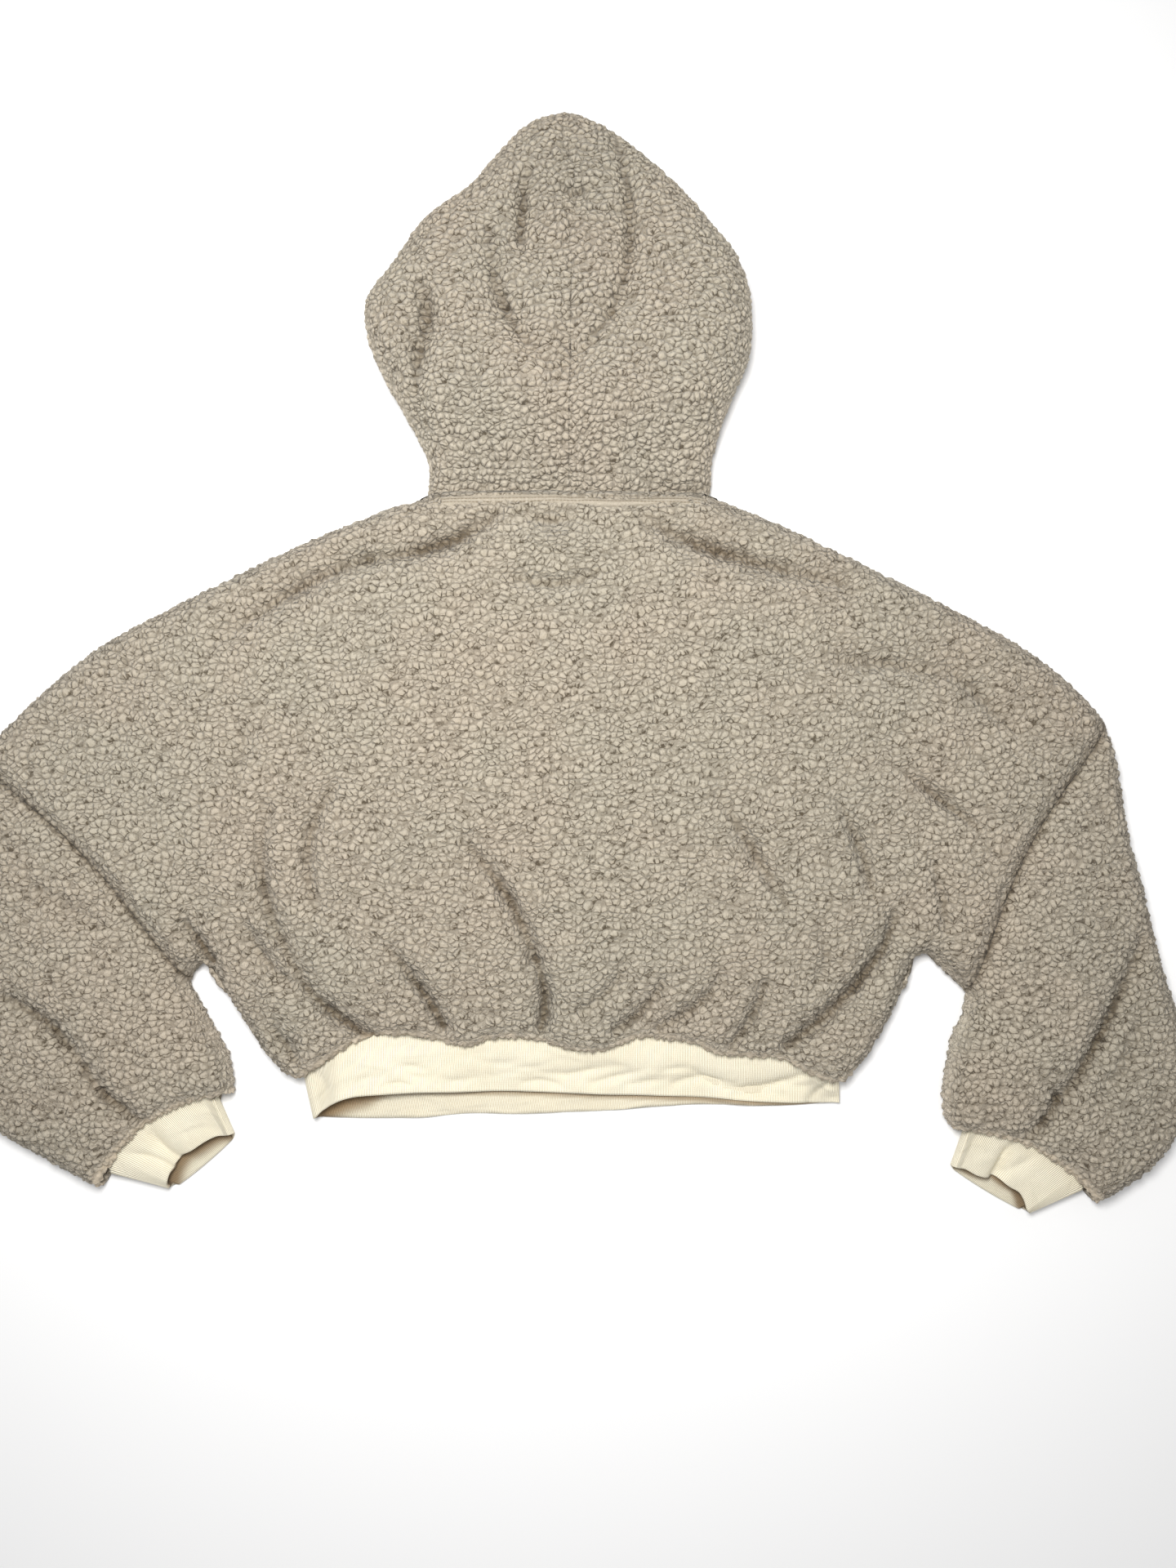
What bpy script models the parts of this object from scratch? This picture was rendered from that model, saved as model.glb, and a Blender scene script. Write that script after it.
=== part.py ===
"""Hooded pullover of sherpa fleece with a rib waistband and rib cuffs, laid back up on a table.

Each cut and sewn piece is a closed wall. The upper surface of the whole garment is one height
field over the table, made from the garment's outline, its folds and its seams, and each fleece
piece takes its own stretch of that surface. The tables below are in millimetres: X to the
wearer's right, Y from hem to hood, Z up from the table.
"""

import bmesh
import bpy
import numpy as np

MM = 0.001
SEAM = 0.3                      # clear gap between two pieces at a seam
FLEECE = 7.0                    # backing and pile
RIB = 2.5                       # rib knit, folded double
TAPE = 1.2                      # flat strip that covers the neck seam

SIDE_RIM = 8.0                  # height of the side seams, where back and front part
UNDER_RADIUS = 7.7              # rounding below the side seams
SIDE_RADIUS = 15.0              # rounding above the side seams
MOUTH_RADIUS = 12.0             # rounding of the fleece where it hangs over the rib
HEM_RIM = 16.0                  # height of the fleece edge above the waistband
CUFF_RIM = 15.0                 # height of the fleece edge above a cuff
HOOD_RIM = 22.0                 # height of the widest line of the hood
HOOD_RADIUS = 30.0              # rounding above that line
HOOD_CURL = 18.0                # rounding below it, round to the face opening
BODY_LOFT = 27.0                # height of the cloth just inside the outline
BODY_SWELL = 7.0                # what the middle of a panel rises above that
SWELL_REACH = 50.0              # how far in from the outline it does so
HOOD_RISE = 25.0                # what the hood rises above the body
HOOD_RISE_RUN = 75.0            # how far above the neck seam it takes to do so
HOOD_RIM_START, HOOD_RIM_RUN = 4.0, 60.0   # where above the neck seam its widest line rises
RIB_RIM_RUN = 30.0              # how far round the rib the fleece edge stands higher
SIDE_RIM_RUN = 9.0              # how fast it drops to the side seams

CENTRE_X = 9.0
NECK_Y = 119.5
FRONT_NECK_Y = 55.0
THROAT_TOP_Y = 102.0
FRONT_HEM_Y = -292.0
TIP_L, TIP_R = (-418, -67), (397, -43)
UNDERARM_L, UNDERARM_R = (-265, -229), (296, -238)
NECK_L, NECK_R = (-94, NECK_Y), (112, NECK_Y)
NAPE, CROWN, HOOD_TOP = (CENTRE_X, NECK_Y), (12, 318), (6, 388)

SHOULDER_L = [TIP_L, (-378, -28), (-331, 11), (-264, 47), (-190, 83), (-135, 106), NECK_L]
SHOULDER_R = [NECK_R, (161, 100), (222, 71), (270, 47), (337, 11), (376, -20), TIP_R]
SIDE_L = [UNDERARM_L, (-259, -221), (-252, -219), (-246, -226), (-238, -241), (-225, -261),
          (-213, -280), (-204, -291), (-195, -299)]
HEM = [(-184, -301), (-172, -294), (-158, -284), (-143, -275), (-123, -270), (-94, -272),
       (-66, -278), (-44, -272), (-12, -274), (12, -281), (36, -281), (60, -272), (98, -276),
       (118, -284), (157, -287), (178, -296), (194, -303), (206, -303)]
SIDE_R = [(215, -297), (228, -281), (240, -260), (248, -242), (252, -229), (258, -216),
          (267, -212), (276, -220), (286, -229), UNDERARM_R]
HOOD_L = [NECK_L, (-93, 143), (-106, 170), (-123, 200), (-135, 230), (-135, 256), (-118, 279),
          (-102, 303), (-88, 318), (-63, 335), (-46, 354), (-22, 378), HOOD_TOP]
HOOD_R = [NECK_R, (117, 143), (125, 168), (132, 193), (138, 215), (140, 240), (138, 264), (129, 287),
          (115, 305), (98, 325), (74, 348), (47, 370), (25, 382), HOOD_TOP]

# A row for each cross section of a sleeve: its outer and its inner edge.
SLEEVE_L = [(TIP_L, UNDERARM_L), ((-427, -95), (-266, -234)), ((-434, -140), (-261, -243)),
            ((-439, -182), (-254, -255)), ((-444, -225), (-247, -267)), ((-447, -265), (-241, -278)),
            ((-445, -300), (-237, -289)), ((-425, -326), (-235, -298)), ((-383, -352), (-234, -306)),
            ((-330, -381), (-235, -313))]
SLEEVE_R = [(TIP_R, UNDERARM_R), ((405, -71), (297, -243)), ((413, -121), (294, -257)),
            ((425, -166), (288, -268)), ((435, -207), (285, -280)), ((449, -255), (282, -296)),
            ((458, -296), (280, -310)), ((453, -334), (280, -322)), ((428, -368), (282, -332)),
            ((390, -392), (287, -339))]
ARMHOLE_BOW = {"L": 9.0, "R": 11.0}  # how far the seam of a sleeve draws back above
MOUTH_BOW = {"L": 17.0, "R": 14.0}   # how far the upper edge of a sleeve end draws back

# Folds: start, middle and end of each, its depth at those three (down is positive), its width.
FOLDS = [
    ((-43, 104), (-81, 83), (-134, 72), 4, 10, 4, 11),      # below the left shoulder
    ((-134, 72), (-180, 53), (-246, 11), 4, 7, 2, 11),
    ((63, 101), (115, 78), (205, 55), 3, 9, 4, 12),         # below the right shoulder
    ((-21, 101), (-3, 99), (14, 101), 3, 5, 3, 7),          # below the neck
    ((-15, 85), (2, 85), (18, 85), -2, -5, -2, 12),
    ((-34, 60), (2, 54), (29, 63), 3, 6, 3, 8),
    ((185, 1), (235, -3), (283, -9), 2, 6, 2, 12),          # across the right upper arm
    ((283, -9), (301, -25), (324, -48), 2, 5, 2, 14),
    ((250, -82), (273, -99), (301, -121), 3, 7, 3, 6),
    ((269, -146), (275, -170), (279, -193), 2, 5, 3, 7),
    ((115, -93), (141, -138), (165, -174), 2, 6, 3, 10),    # down the right of the back
    ((190, -199), (192, -216), (185, -230), 2, 4, 2, 8),
    ((202, -103), (215, -129), (224, -161), 3, 6, 5, 9),
    ((242, -182), (221, -225), (166, -276), 5, 10, 7, 9),
    ((-66, -129), (-36, -167), (-15, -213), 3, 8, 5, 9),    # down the middle
    ((-15, -213), (-8, -239), (-11, -263), 4, 9, 8, 8),
    ((-119, -206), (-99, -232), (-81, -262), 3, 8, 8, 8),
    ((-157, -90), (-176, -132), (-171, -175), 3, 6, 3, 10),     # down the left of the back
    ((-205, -106), (-208, -164), (-179, -233), 3, 6, 4, 10),
    ((-179, -233), (-158, -254), (-131, -271), 4, 10, 7, 8),
    ((-215, -186), (-198, -209), (-182, -232), -3, -4, -2, 6),
    ((-220, -190), (-208, -213), (-190, -230), 2, 5, 3, 7),
    ((-203, -263), (-194, -274), (-187, -285), 3, 6, 5, 8),
    ((-221, -53), (-226, -71), (-228, -91), 2, 3, 1, 13),
    ((-264, -189), (-256, -201), (-247, -216), 4, 9, 8, 7),     # at the left underarm
    ((52, -204), (43, -230), (18, -251), 1, 4, 4, 8),       # gathers at the hem
    ((76, -230), (63, -249), (43, -265), 3, 6, 6, 8),
    ((117, -227), (101, -247), (74, -263), 3, 6, 5, 8),
    ((149, -231), (140, -254), (127, -275), 4, 6, 5, 7),
    ((-394, -240), (-359, -262), (-336, -291), 4, 8, 3, 10),    # left sleeve
    ((-336, -291), (-319, -314), (-294, -332), 3, 8, 4, 9),
    ((-374, -161), (-351, -174), (-327, -188), 2, 3, 2, 15),
    ((419, -199), (388, -271), (359, -314), 4, 9, 5, 11),   # right sleeve
    ((359, -314), (349, -330), (336, -340), 5, 8, 3, 9),
    ((417, -245), (408, -280), (388, -311), 2, 4, 2, 18),
    ((-45, 294), (-36, 243), (-7, 206), 3, 8, 5, 10),       # hood, left of its seam
    ((-20, 336), (-23, 307), (-24, 285), 4, 10, 5, 8),
    ((-59, 212), (-58, 195), (-61, 177), 2, 3, 2, 8),
    ((43, 358), (52, 291), (39, 238), 5, 8, 4, 9),          # hood, right of its seam
    ((39, 238), (27, 222), (11, 207), 4, 6, 3, 11),
    ((31, 117), (68, 119), (103, 124), 1, 2, 3, 9),
    ((4, 325), (13, 321), (26, 325), 4, 10, 4, 8),          # hood, in the middle
    ((6, 232), (6, 215), (5, 189), 4, 6, 3, 14),
    ((-93, 256), (-90, 234), (-95, 212), 6, 12, 4, 10),     # hood, the left ear
    ((-95, 212), (-97, 189), (-100, 164), 3, 4, 3, 8),
    ((-113, 245), (-103, 230), (-100, 215), 2, 3, 2, 14),
]
LEAST_FOLD = 10.0               # the narrowest fold that the points of a panel can follow
ARMHOLE_DEPTH, ARMHOLE_WIDTH = 6.0, 6.0
NECK_DEPTH, NECK_WIDTH = 5.0, 7.0
HOOD_SEAM_DEPTH, HOOD_SEAM_WIDTH = 3.5, 5.0

BAND_LEFT, BAND_RIGHT = -186.0, 205.5
BAND_SEAM_Y = -258.0            # where the band's upper layer ends inside the fleece
BAND_LOWER = [(-177, -332), (-109, -334), (-37, -332), (47, -326), (101, -323), (160, -324), (206, -321)]
BAND_UPPER = [(-177, -332), (-148, -319), (-119, -313), (-48, -311), (23, -313), (100, -317),
              (159, -321), (206, -321)]
BAND_HEIGHT = 14.8
BAND_TUCK_HEIGHT = 11.8         # its height where the fleece covers it
BAND_TUCK_START, BAND_TUCK_RUN = 6.0, 22.0      # where from its two ends it starts to run on
BAND_ARCH, BAND_DROP = 3.0, 3.0 # it stands up at the left and lies lower at the right
CUFF_HEIGHT = 14.0
CUFF_TUCK = 10.0                # what a cuff's upper layer runs on inside the fleece
CUFF_TUCK_START, CUFF_TUCK_RUN = 5.0, 12.0
CUFF_SAG, CUFF_CREST = 3.0, 2.5 # how far its lower edge bows out; the ridge beside its pleat
# A cuff: seam and mouth ends on its two sides, how far its upper layer draws back at the
# mouth, and the place, depth and width of the pleat in it, as shares of its width.
CUFF_L = dict(seam=((-322, -375.4), (-244, -319.5)), mouth=((-281, -385), (-234, -345)),
              back=12.0, pleat=0.36, depth=5.5, width=0.10)
CUFF_R = dict(seam=((381, -387.5), (294.5, -343)), mouth=((343, -402), (286.5, -368)),
              back=9.0, pleat=0.50, depth=5.0, width=0.10)

FLEECE_COLOUR = (0.50, 0.44, 0.35)
RIB_COLOUR = (0.92, 0.86, 0.70)


def smooth(points, steps=8):
    """A Catmull-Rom curve through the points, with `steps` to a span."""
    p = np.array(points, float)
    p = np.vstack([2 * p[:1] - p[1:2], p, 2 * p[-1:] - p[-2:-1]])
    t = np.linspace(0, 1, steps, endpoint=False)[:, None]
    spans = []
    for a, b, c, d in zip(p, p[1:], p[2:], p[3:]):
        spans.append(b + 0.5 * ((c - a) * t + (2 * a - 5 * b + 4 * c - d) * t ** 2
                                + (3 * b - a - 3 * c + d) * t ** 3))
    return np.vstack(spans + [p[-2:-1]])


def length(curve):
    return np.linalg.norm(np.diff(curve, axis=0), axis=1).sum()


def along(curve, fractions):
    """Points of a curve at the given fractions of its length."""
    curve = np.array(curve, float)
    run = np.concatenate([[0], np.cumsum(np.linalg.norm(np.diff(curve, axis=0), axis=1))])
    return np.column_stack([np.interp(fractions, run / run[-1], c) for c in curve.T])


def distance(p, curve):
    """Distance in plan from each point to a curve."""
    curve = np.array(curve, float)
    a, d = curve[:-1], np.diff(curve, axis=0)
    rel = p[..., None, :] - a
    t = np.clip((rel * d).sum(-1) / (d * d).sum(-1), 0, 1)
    return np.linalg.norm(rel - t[..., None] * d, axis=-1).min(-1)


def ease(t):
    t = np.clip(t, 0, 1)
    return t * t * (3 - 2 * t)


def roll(t, power=2.3):
    """A rounded edge: 0 and upright at t = 0, 1 and level from t = 1."""
    return (1 - (1 - np.clip(t, 0, 1)) ** power) ** (1 / power)


def spread(width, edge, middle):
    """Distances across a width: close steps near both ends, `middle` even steps between."""
    inner = np.linspace(edge[-1], width - edge[-1], middle + 1)[1:-1]
    return np.concatenate([edge, inner, width - np.array(edge[::-1])])


LOWER_EDGE = smooth(SIDE_L + HEM + SIDE_R)
CORNER_L = (len(SIDE_L) - 1) * 8
CORNER_R = (len(SIDE_L) + len(HEM)) * 8
SIDE_LINE_L = LOWER_EDGE[:CORNER_L + 1]
HEM_LINE = LOWER_EDGE[CORNER_L:CORNER_R + 1]
SIDE_LINE_R = LOWER_EDGE[CORNER_R:]
SHOULDER_LINE_L, SHOULDER_LINE_R = smooth(SHOULDER_L), smooth(SHOULDER_R)
HOOD_LINE = {"L": smooth(HOOD_L), "R": smooth(HOOD_R)}
OUTER_LINE = {"L": smooth([row[0] for row in SLEEVE_L]), "R": smooth([row[0] for row in SLEEVE_R])}
INNER_LINE = {"L": smooth([row[1] for row in SLEEVE_L]), "R": smooth([row[1] for row in SLEEVE_R])}


def bowed(start, end, bow, fractions, seam_bow=0.0):
    """Points between two ends, drawn back in the middle, towards the shoulder. A seam's bow
    leaves both ends straight."""
    start, end = np.array(start, float), np.array(end, float)
    across = np.array([-(end - start)[1], (end - start)[0]]) / np.linalg.norm(end - start)
    across *= np.sign(across[1])
    f = np.asarray(fractions)[:, None]
    rise = 4 * f * (1 - f)
    return start + (end - start) * f + across * (bow * rise + seam_bow * rise ** 2)


CURVE_SHARES = np.linspace(0, 1, 15)
ARMHOLE_LINE = {s: bowed(OUTER_LINE[s][0], INNER_LINE[s][0], 0, CURVE_SHARES, ARMHOLE_BOW[s]) for s in "LR"}
MOUTH_LINE = {s: bowed(OUTER_LINE[s][-1], INNER_LINE[s][-1], MOUTH_BOW[s], CURVE_SHARES) for s in "LR"}
OUTLINE = [SHOULDER_LINE_L, SHOULDER_LINE_R, SIDE_LINE_L, SIDE_LINE_R, *HOOD_LINE.values(),
           *OUTER_LINE.values(), *INNER_LINE.values()]


def fold_height(p):
    """What the folds add to the height at each point."""
    total = np.zeros(p.shape[:-1])
    t = np.linspace(0, 1, 9)
    for start, middle, end, d0, d1, d2, width in FOLDS:
        start, middle, end = (np.array(q, float) for q in (start, middle, end))
        control = 2 * middle - 0.5 * (start + end)
        spine = ((1 - t) ** 2)[:, None] * start + (2 * t * (1 - t))[:, None] * control \
            + (t ** 2)[:, None] * end
        depth = np.interp(t, [0, 0.5, 1], [d0, d1, d2])
        gap = np.linalg.norm(p[..., None, :] - spine, axis=-1)
        weight = np.exp(-(gap / (0.7 * width)) ** 2)
        share = (weight * depth).sum(-1) / np.maximum(weight.sum(-1), 1e-9)
        total -= share * np.exp(-(distance(p, spine) / max(width, LEAST_FOLD)) ** 2)
    return total


def groove(p, line, depth, width):
    return -depth * np.exp(-(distance(p, line) / width) ** 2)


def hood_share(p):
    """0 on the body, 1 where the hood has its full rim."""
    return ease((p[..., 1] - NECK_Y - HOOD_RIM_START) / HOOD_RIM_RUN)


def rim_height(p):
    """Height of the outline: low at the sides, higher over the rib and round the hood."""
    side = np.min([distance(p, c) for c in OUTLINE], axis=0)
    rim = SIDE_RIM + (HOOD_RIM - SIDE_RIM) * hood_share(p)
    for line, top in ((HEM_LINE, HEM_RIM), (MOUTH_LINE["L"], CUFF_RIM), (MOUTH_LINE["R"], CUFF_RIM)):
        near = 1 - ease(distance(p, line) / RIB_RIM_RUN)
        rim = rim + (top - SIDE_RIM) * near * ease(side / SIDE_RIM_RUN)
    return rim


def upper(p):
    """Height of the garment's upper surface at each point of the plan."""
    side = np.min([distance(p, c) for c in OUTLINE], axis=0)
    mouth = np.min([distance(p, c) for c in (HEM_LINE, *MOUTH_LINE.values())], axis=0)
    radius = SIDE_RADIUS + (HOOD_RADIUS - SIDE_RADIUS) * hood_share(p)
    edge = np.minimum(side / radius, mouth / MOUTH_RADIUS)
    top = BODY_LOFT + BODY_SWELL * (1 - np.exp(-np.minimum(side, mouth) / SWELL_REACH))
    top = top + HOOD_RISE * ease((p[..., 1] - NECK_Y + 2) / HOOD_RISE_RUN) + fold_height(p)
    top = top + groove(p, ARMHOLE_LINE["L"], ARMHOLE_DEPTH, ARMHOLE_WIDTH)
    top = top + groove(p, ARMHOLE_LINE["R"], ARMHOLE_DEPTH, ARMHOLE_WIDTH)
    top = top + groove(p, [NECK_L, NECK_R], NECK_DEPTH, NECK_WIDTH)
    top = top + groove(p, [NAPE, CROWN, HOOD_TOP], HOOD_SEAM_DEPTH, HOOD_SEAM_WIDTH)
    rim = rim_height(p)
    return rim + (top - rim) * roll(edge)


def lower(p, rim=UNDER_RADIUS, radius=UNDER_RADIUS):
    """Height of the underside: flat on the table, rounded up to the outline."""
    side = np.min([distance(p, c) for c in OUTLINE], axis=0)
    inward = 1 - np.clip(side / radius, 0, 1)
    return rim * (1 - np.sqrt(np.maximum(1 - inward ** 2, 0)))


def lift(plan, z):
    return np.concatenate([plan, np.asarray(z)[..., None]], axis=-1)


def coons(top, bottom, left, right):
    """A grid of plan points spanned between four edges."""
    u = np.concatenate([[0], np.cumsum(np.linalg.norm(np.diff(top, axis=0), axis=1))])
    v = np.concatenate([[0], np.cumsum(np.linalg.norm(np.diff(left, axis=0), axis=1))])
    u, v = (u / u[-1])[None, :, None], (v / v[-1])[:, None, None]
    ruled = (1 - v) * top[None] + v * bottom[None] + (1 - u) * left[:, None] + u * right[:, None]
    corners = (1 - v) * ((1 - u) * top[0] + u * top[-1]) + v * ((1 - u) * bottom[0] + u * bottom[-1])
    return ruled - corners


def grid_normals(grid, closed):
    """Mean of the face normals round each point of a grid."""
    g = np.concatenate([grid, grid[:, :1]], axis=1) if closed else grid
    face = np.cross(g[1:, 1:] - g[:-1, :-1], g[1:, :-1] - g[:-1, 1:])
    total = np.zeros(g.shape)
    for di in (0, 1):
        for dj in (0, 1):
            total[di:di + face.shape[0], dj:dj + face.shape[1]] += face
    if closed:
        total[:, 0] += total[:, -1]
        total = total[:, :-1]
    return total / np.linalg.norm(total, axis=-1, keepdims=True)


def offset_directions(grid, closed, cuts):
    """Normals of a grid, with each edge's own direction taken out, so that rims lie flush."""
    n = grid_normals(grid, closed)
    edges = {"top": np.s_[0, :], "bottom": np.s_[-1, :], "left": np.s_[:, 0], "right": np.s_[:, -1]}
    for edge, rows, direction in cuts:
        d = np.array(direction, float)
        part = n[edges[edge]][rows]
        n[edges[edge]][rows] = part - (part * d).sum(-1, keepdims=True) * d
    return n / np.linalg.norm(n, axis=-1, keepdims=True)


def material(name, colour, roughness):
    m = bpy.data.materials.new(name)
    m.use_nodes = True
    shader = m.node_tree.nodes["Principled BSDF"]
    shader.inputs["Base Color"].default_value = (*colour, 1)
    shader.inputs["Roughness"].default_value = roughness
    return m


def solid(name, outer, inner, closed, mat):
    """A closed wall between an outer and an inner grid of points."""
    rows, cols = outer.shape[:2]
    points = np.concatenate([outer.reshape(-1, 3), inner.reshape(-1, 3)]) * MM
    mesh = bpy.data.meshes.new(name)
    bm = bmesh.new()
    verts = [bm.verts.new(p) for p in points]
    count = rows * cols

    def quad(a, b, c, d):
        bm.faces.new((verts[a], verts[b], verts[c]))
        bm.faces.new((verts[a], verts[c], verts[d]))

    def at(i, j, side):
        return side * count + i * cols + j % cols

    steps = cols if closed else cols - 1
    for i in range(rows - 1):
        for j in range(steps):
            quad(at(i, j, 0), at(i, j + 1, 0), at(i + 1, j + 1, 0), at(i + 1, j, 0))
            quad(at(i, j, 1), at(i + 1, j, 1), at(i + 1, j + 1, 1), at(i, j + 1, 1))
    for i in (0, rows - 1):
        for j in range(steps):
            quad(at(i, j, 0), at(i, j, 1), at(i, j + 1, 1), at(i, j + 1, 0))
    if not closed:
        for j in (0, cols - 1):
            for i in range(rows - 1):
                quad(at(i, j, 0), at(i + 1, j, 0), at(i + 1, j, 1), at(i, j, 1))
    bmesh.ops.recalc_face_normals(bm, faces=bm.faces)
    bm.to_mesh(mesh)
    bm.free()
    mesh.materials.append(mat)
    mesh.shade_smooth()
    obj = bpy.data.objects.new(name, mesh)
    bpy.context.scene.collection.objects.link(obj)
    return obj


def wall(name, outer, thickness, mat, cuts, closed=False, facing=None, between=(0, np.inf)):
    """A wall inside its outer points, which face `facing`, or away from their own middle."""
    n = offset_directions(outer, closed, cuts)
    guide = outer - outer.mean((0, 1)) if facing is None else np.array(facing)
    n = n * np.sign((n * guide).sum())
    inner = outer - thickness * n
    inner[..., 2] = np.clip(inner[..., 2], *between)
    return solid(name, outer, inner, closed, mat)


UP, DOWN = (0, 0, 1), (0, 0, -1)
ALL = slice(None)


def across(start, end):
    """Level direction square to a straight seam."""
    d = np.array(end, float) - np.array(start, float)
    return np.array([-d[1], d[0], 0]) / np.linalg.norm(d)


TOP_STEPS = [0, 1.0, 3.8, 8.5, 15.0]        # steps in from the outline, over the rounded edge
UNDER_STEPS = [1.0, 3.5, 8.0]               # the same on the underside
SEAM_STEPS = [0, 4.0, 10.0]
NECK_STEPS = [0, 3.0, 8.0]
HEM_STEPS = [0, 0.9, 3.2, 7.0, 12.0]
BOW_FIRST_ROW, BOW_ROWS = 6, 6              # the rows of a sleeve over which its ends draw back


def panel_edges(neck, side_l, side_r, hem, shoulder, side, rows, bow):
    """Edges of a body panel in plan: shoulders and neck, the two armholes, and sides and hem."""
    f = spread(length(SHOULDER_LINE_L), SEAM_STEPS, shoulder) / length(SHOULDER_LINE_L)
    top = np.vstack([along(SHOULDER_LINE_L, f)[:-1], neck, along(SHOULDER_LINE_R, 1 - f[::-1])[1:]])
    g = np.concatenate([[0, 0.035], np.linspace(0.09, 1, side)])
    hem_share = np.linspace(0, 1, len(top) - 2 * len(g) + 2)
    bottom = np.vstack([along(side_l, g)[:-1], along(hem, hem_share), along(side_r, g)[-2::-1]])
    rows = np.array(rows) / rows[-1]
    left = bowed(TIP_L, UNDERARM_L, 0, rows, bow * ARMHOLE_BOW["L"])
    right = bowed(TIP_R, UNDERARM_R, 0, rows, bow * ARMHOLE_BOW["R"])
    return top, bottom, left, right, len(g)


def shifted(grid, edge, rows, direction, by):
    """Moves an edge of a grid back from its seam."""
    edges = {"top": np.s_[0, :], "bottom": np.s_[-1, :], "left": np.s_[:, 0], "right": np.s_[:, -1]}
    grid[edges[edge]][rows] += np.array(direction, float) * by


def square_to(line):
    """Level directions square to a line in plan, on its left."""
    d = np.gradient(np.asarray(line)[:, :2], axis=0)
    d = d / np.linalg.norm(d, axis=1, keepdims=True)
    return np.column_stack([-d[:, 1], d[:, 0], np.zeros(len(d))])


def part_seams(grid, neck):
    """Draws a body panel back from its armhole seams and its neck seam."""
    seams = [square_to(grid[:, 0]), square_to(grid[:, -1])]
    seams = [d * np.sign(d[0, 0]) for d in seams]
    neck_seam = square_to(grid[0, neck])
    shifted(grid, "left", ALL, seams[0], SEAM / 2)
    shifted(grid, "right", ALL, seams[1], -SEAM / 2)
    shifted(grid, "top", neck, neck_seam, -SEAM / 2)
    before, after = slice(0, neck.start + 1), slice(neck.stop - 1, None)
    return [("top", before, UP), ("top", after, UP), ("top", neck, neck_seam),
            ("left", ALL, seams[0]), ("right", ALL, seams[1])]


BACK_ROWS = [0, 1, 3.8, 8.5, 15, 27, 40, 53, 67, 81, 96, 114, 134, 155, 177, 200, 223, 246, 268, 288,
             305, 318, 323, 326.8, 329.1, 330]
FRONT_ROWS = [0, 1, 3.5, 8, 40, 80, 130, 190, 240, 280, 300, 318, 326, 330]


def build_back(mat):
    neck_width = NECK_R[0] - NECK_L[0]
    across_neck = along([NECK_L, NECK_R], spread(neck_width, NECK_STEPS, 11) / neck_width)
    shoulder = 14
    top, bottom, left, right, side = panel_edges(
        across_neck, SIDE_LINE_L, SIDE_LINE_R[::-1], HEM_LINE, shoulder, 7, BACK_ROWS, 1)
    plan = coons(top, bottom, left, right)
    grid = lift(plan, upper(plan))
    first = shoulder + 2 * len(SEAM_STEPS) - 2
    neck = slice(first, first + len(across_neck))
    cuts = part_seams(grid, neck) + [("bottom", ALL, UP)]
    wall("back_panel", grid, FLEECE, mat, cuts, facing=UP, between=(SIDE_RIM, np.inf))
    n = grid_normals(grid, False)
    n = n * np.sign(n[..., 2].sum())
    strip = (slice(1, 4), slice(neck.start + 1, neck.stop - 1))
    solid("neck_tape", grid[strip] + (SEAM + TAPE) * n[strip], grid[strip] + SEAM * n[strip],
          False, mat)


NECKLINE_SHARES = [0, 0.012, 0.04, 0.085, 0.18, 0.344, 0.508, 0.672, 0.836, 1]


def neckline(side):
    """Front neckline of one half in plan, from the side of the neck to the centre front."""
    start = np.array(NECK_L if side == "L" else NECK_R, float)
    end = np.array((CENTRE_X, FRONT_NECK_Y))
    f = np.array(NECKLINE_SHARES)
    bend = 1 - (1 - f) ** 2
    return np.column_stack([start[0] + (end[0] - start[0]) * f, start[1] + (end[1] - start[1]) * bend])


def cut_at(line, y):
    """The stretch of a side line above a level."""
    last = np.argmax(line[:, 1] < y)
    t = (y - line[last - 1, 1]) / (line[last, 1] - line[last - 1, 1])
    return np.vstack([line[:last], line[last - 1] + t * (line[last] - line[last - 1])])


def build_front(mat):
    across_neck = np.vstack([neckline("L"), neckline("R")[-2::-1]])
    side_l, side_r = cut_at(SIDE_LINE_L, FRONT_HEM_Y), cut_at(SIDE_LINE_R[::-1], FRONT_HEM_Y)
    shoulder = 5
    top, bottom, left, right, side = panel_edges(
        across_neck, side_l, side_r, [side_l[-1], side_r[-1]], shoulder, 6, FRONT_ROWS, 0)
    plan = coons(top, bottom, left, right)
    grid = lift(plan, lower(plan))
    first = shoulder + 2 * len(SEAM_STEPS) - 2
    neck = slice(first, first + len(across_neck))
    cuts = part_seams(grid, neck) + [
        ("bottom", slice(0, side), UP), ("bottom", slice(-side, None), UP),
        ("bottom", slice(side - 1, 1 - side), (0, 1, 0))]
    wall("front_panel", grid, FLEECE, mat, cuts, facing=DOWN, between=(0, UNDER_RADIUS))


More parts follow.
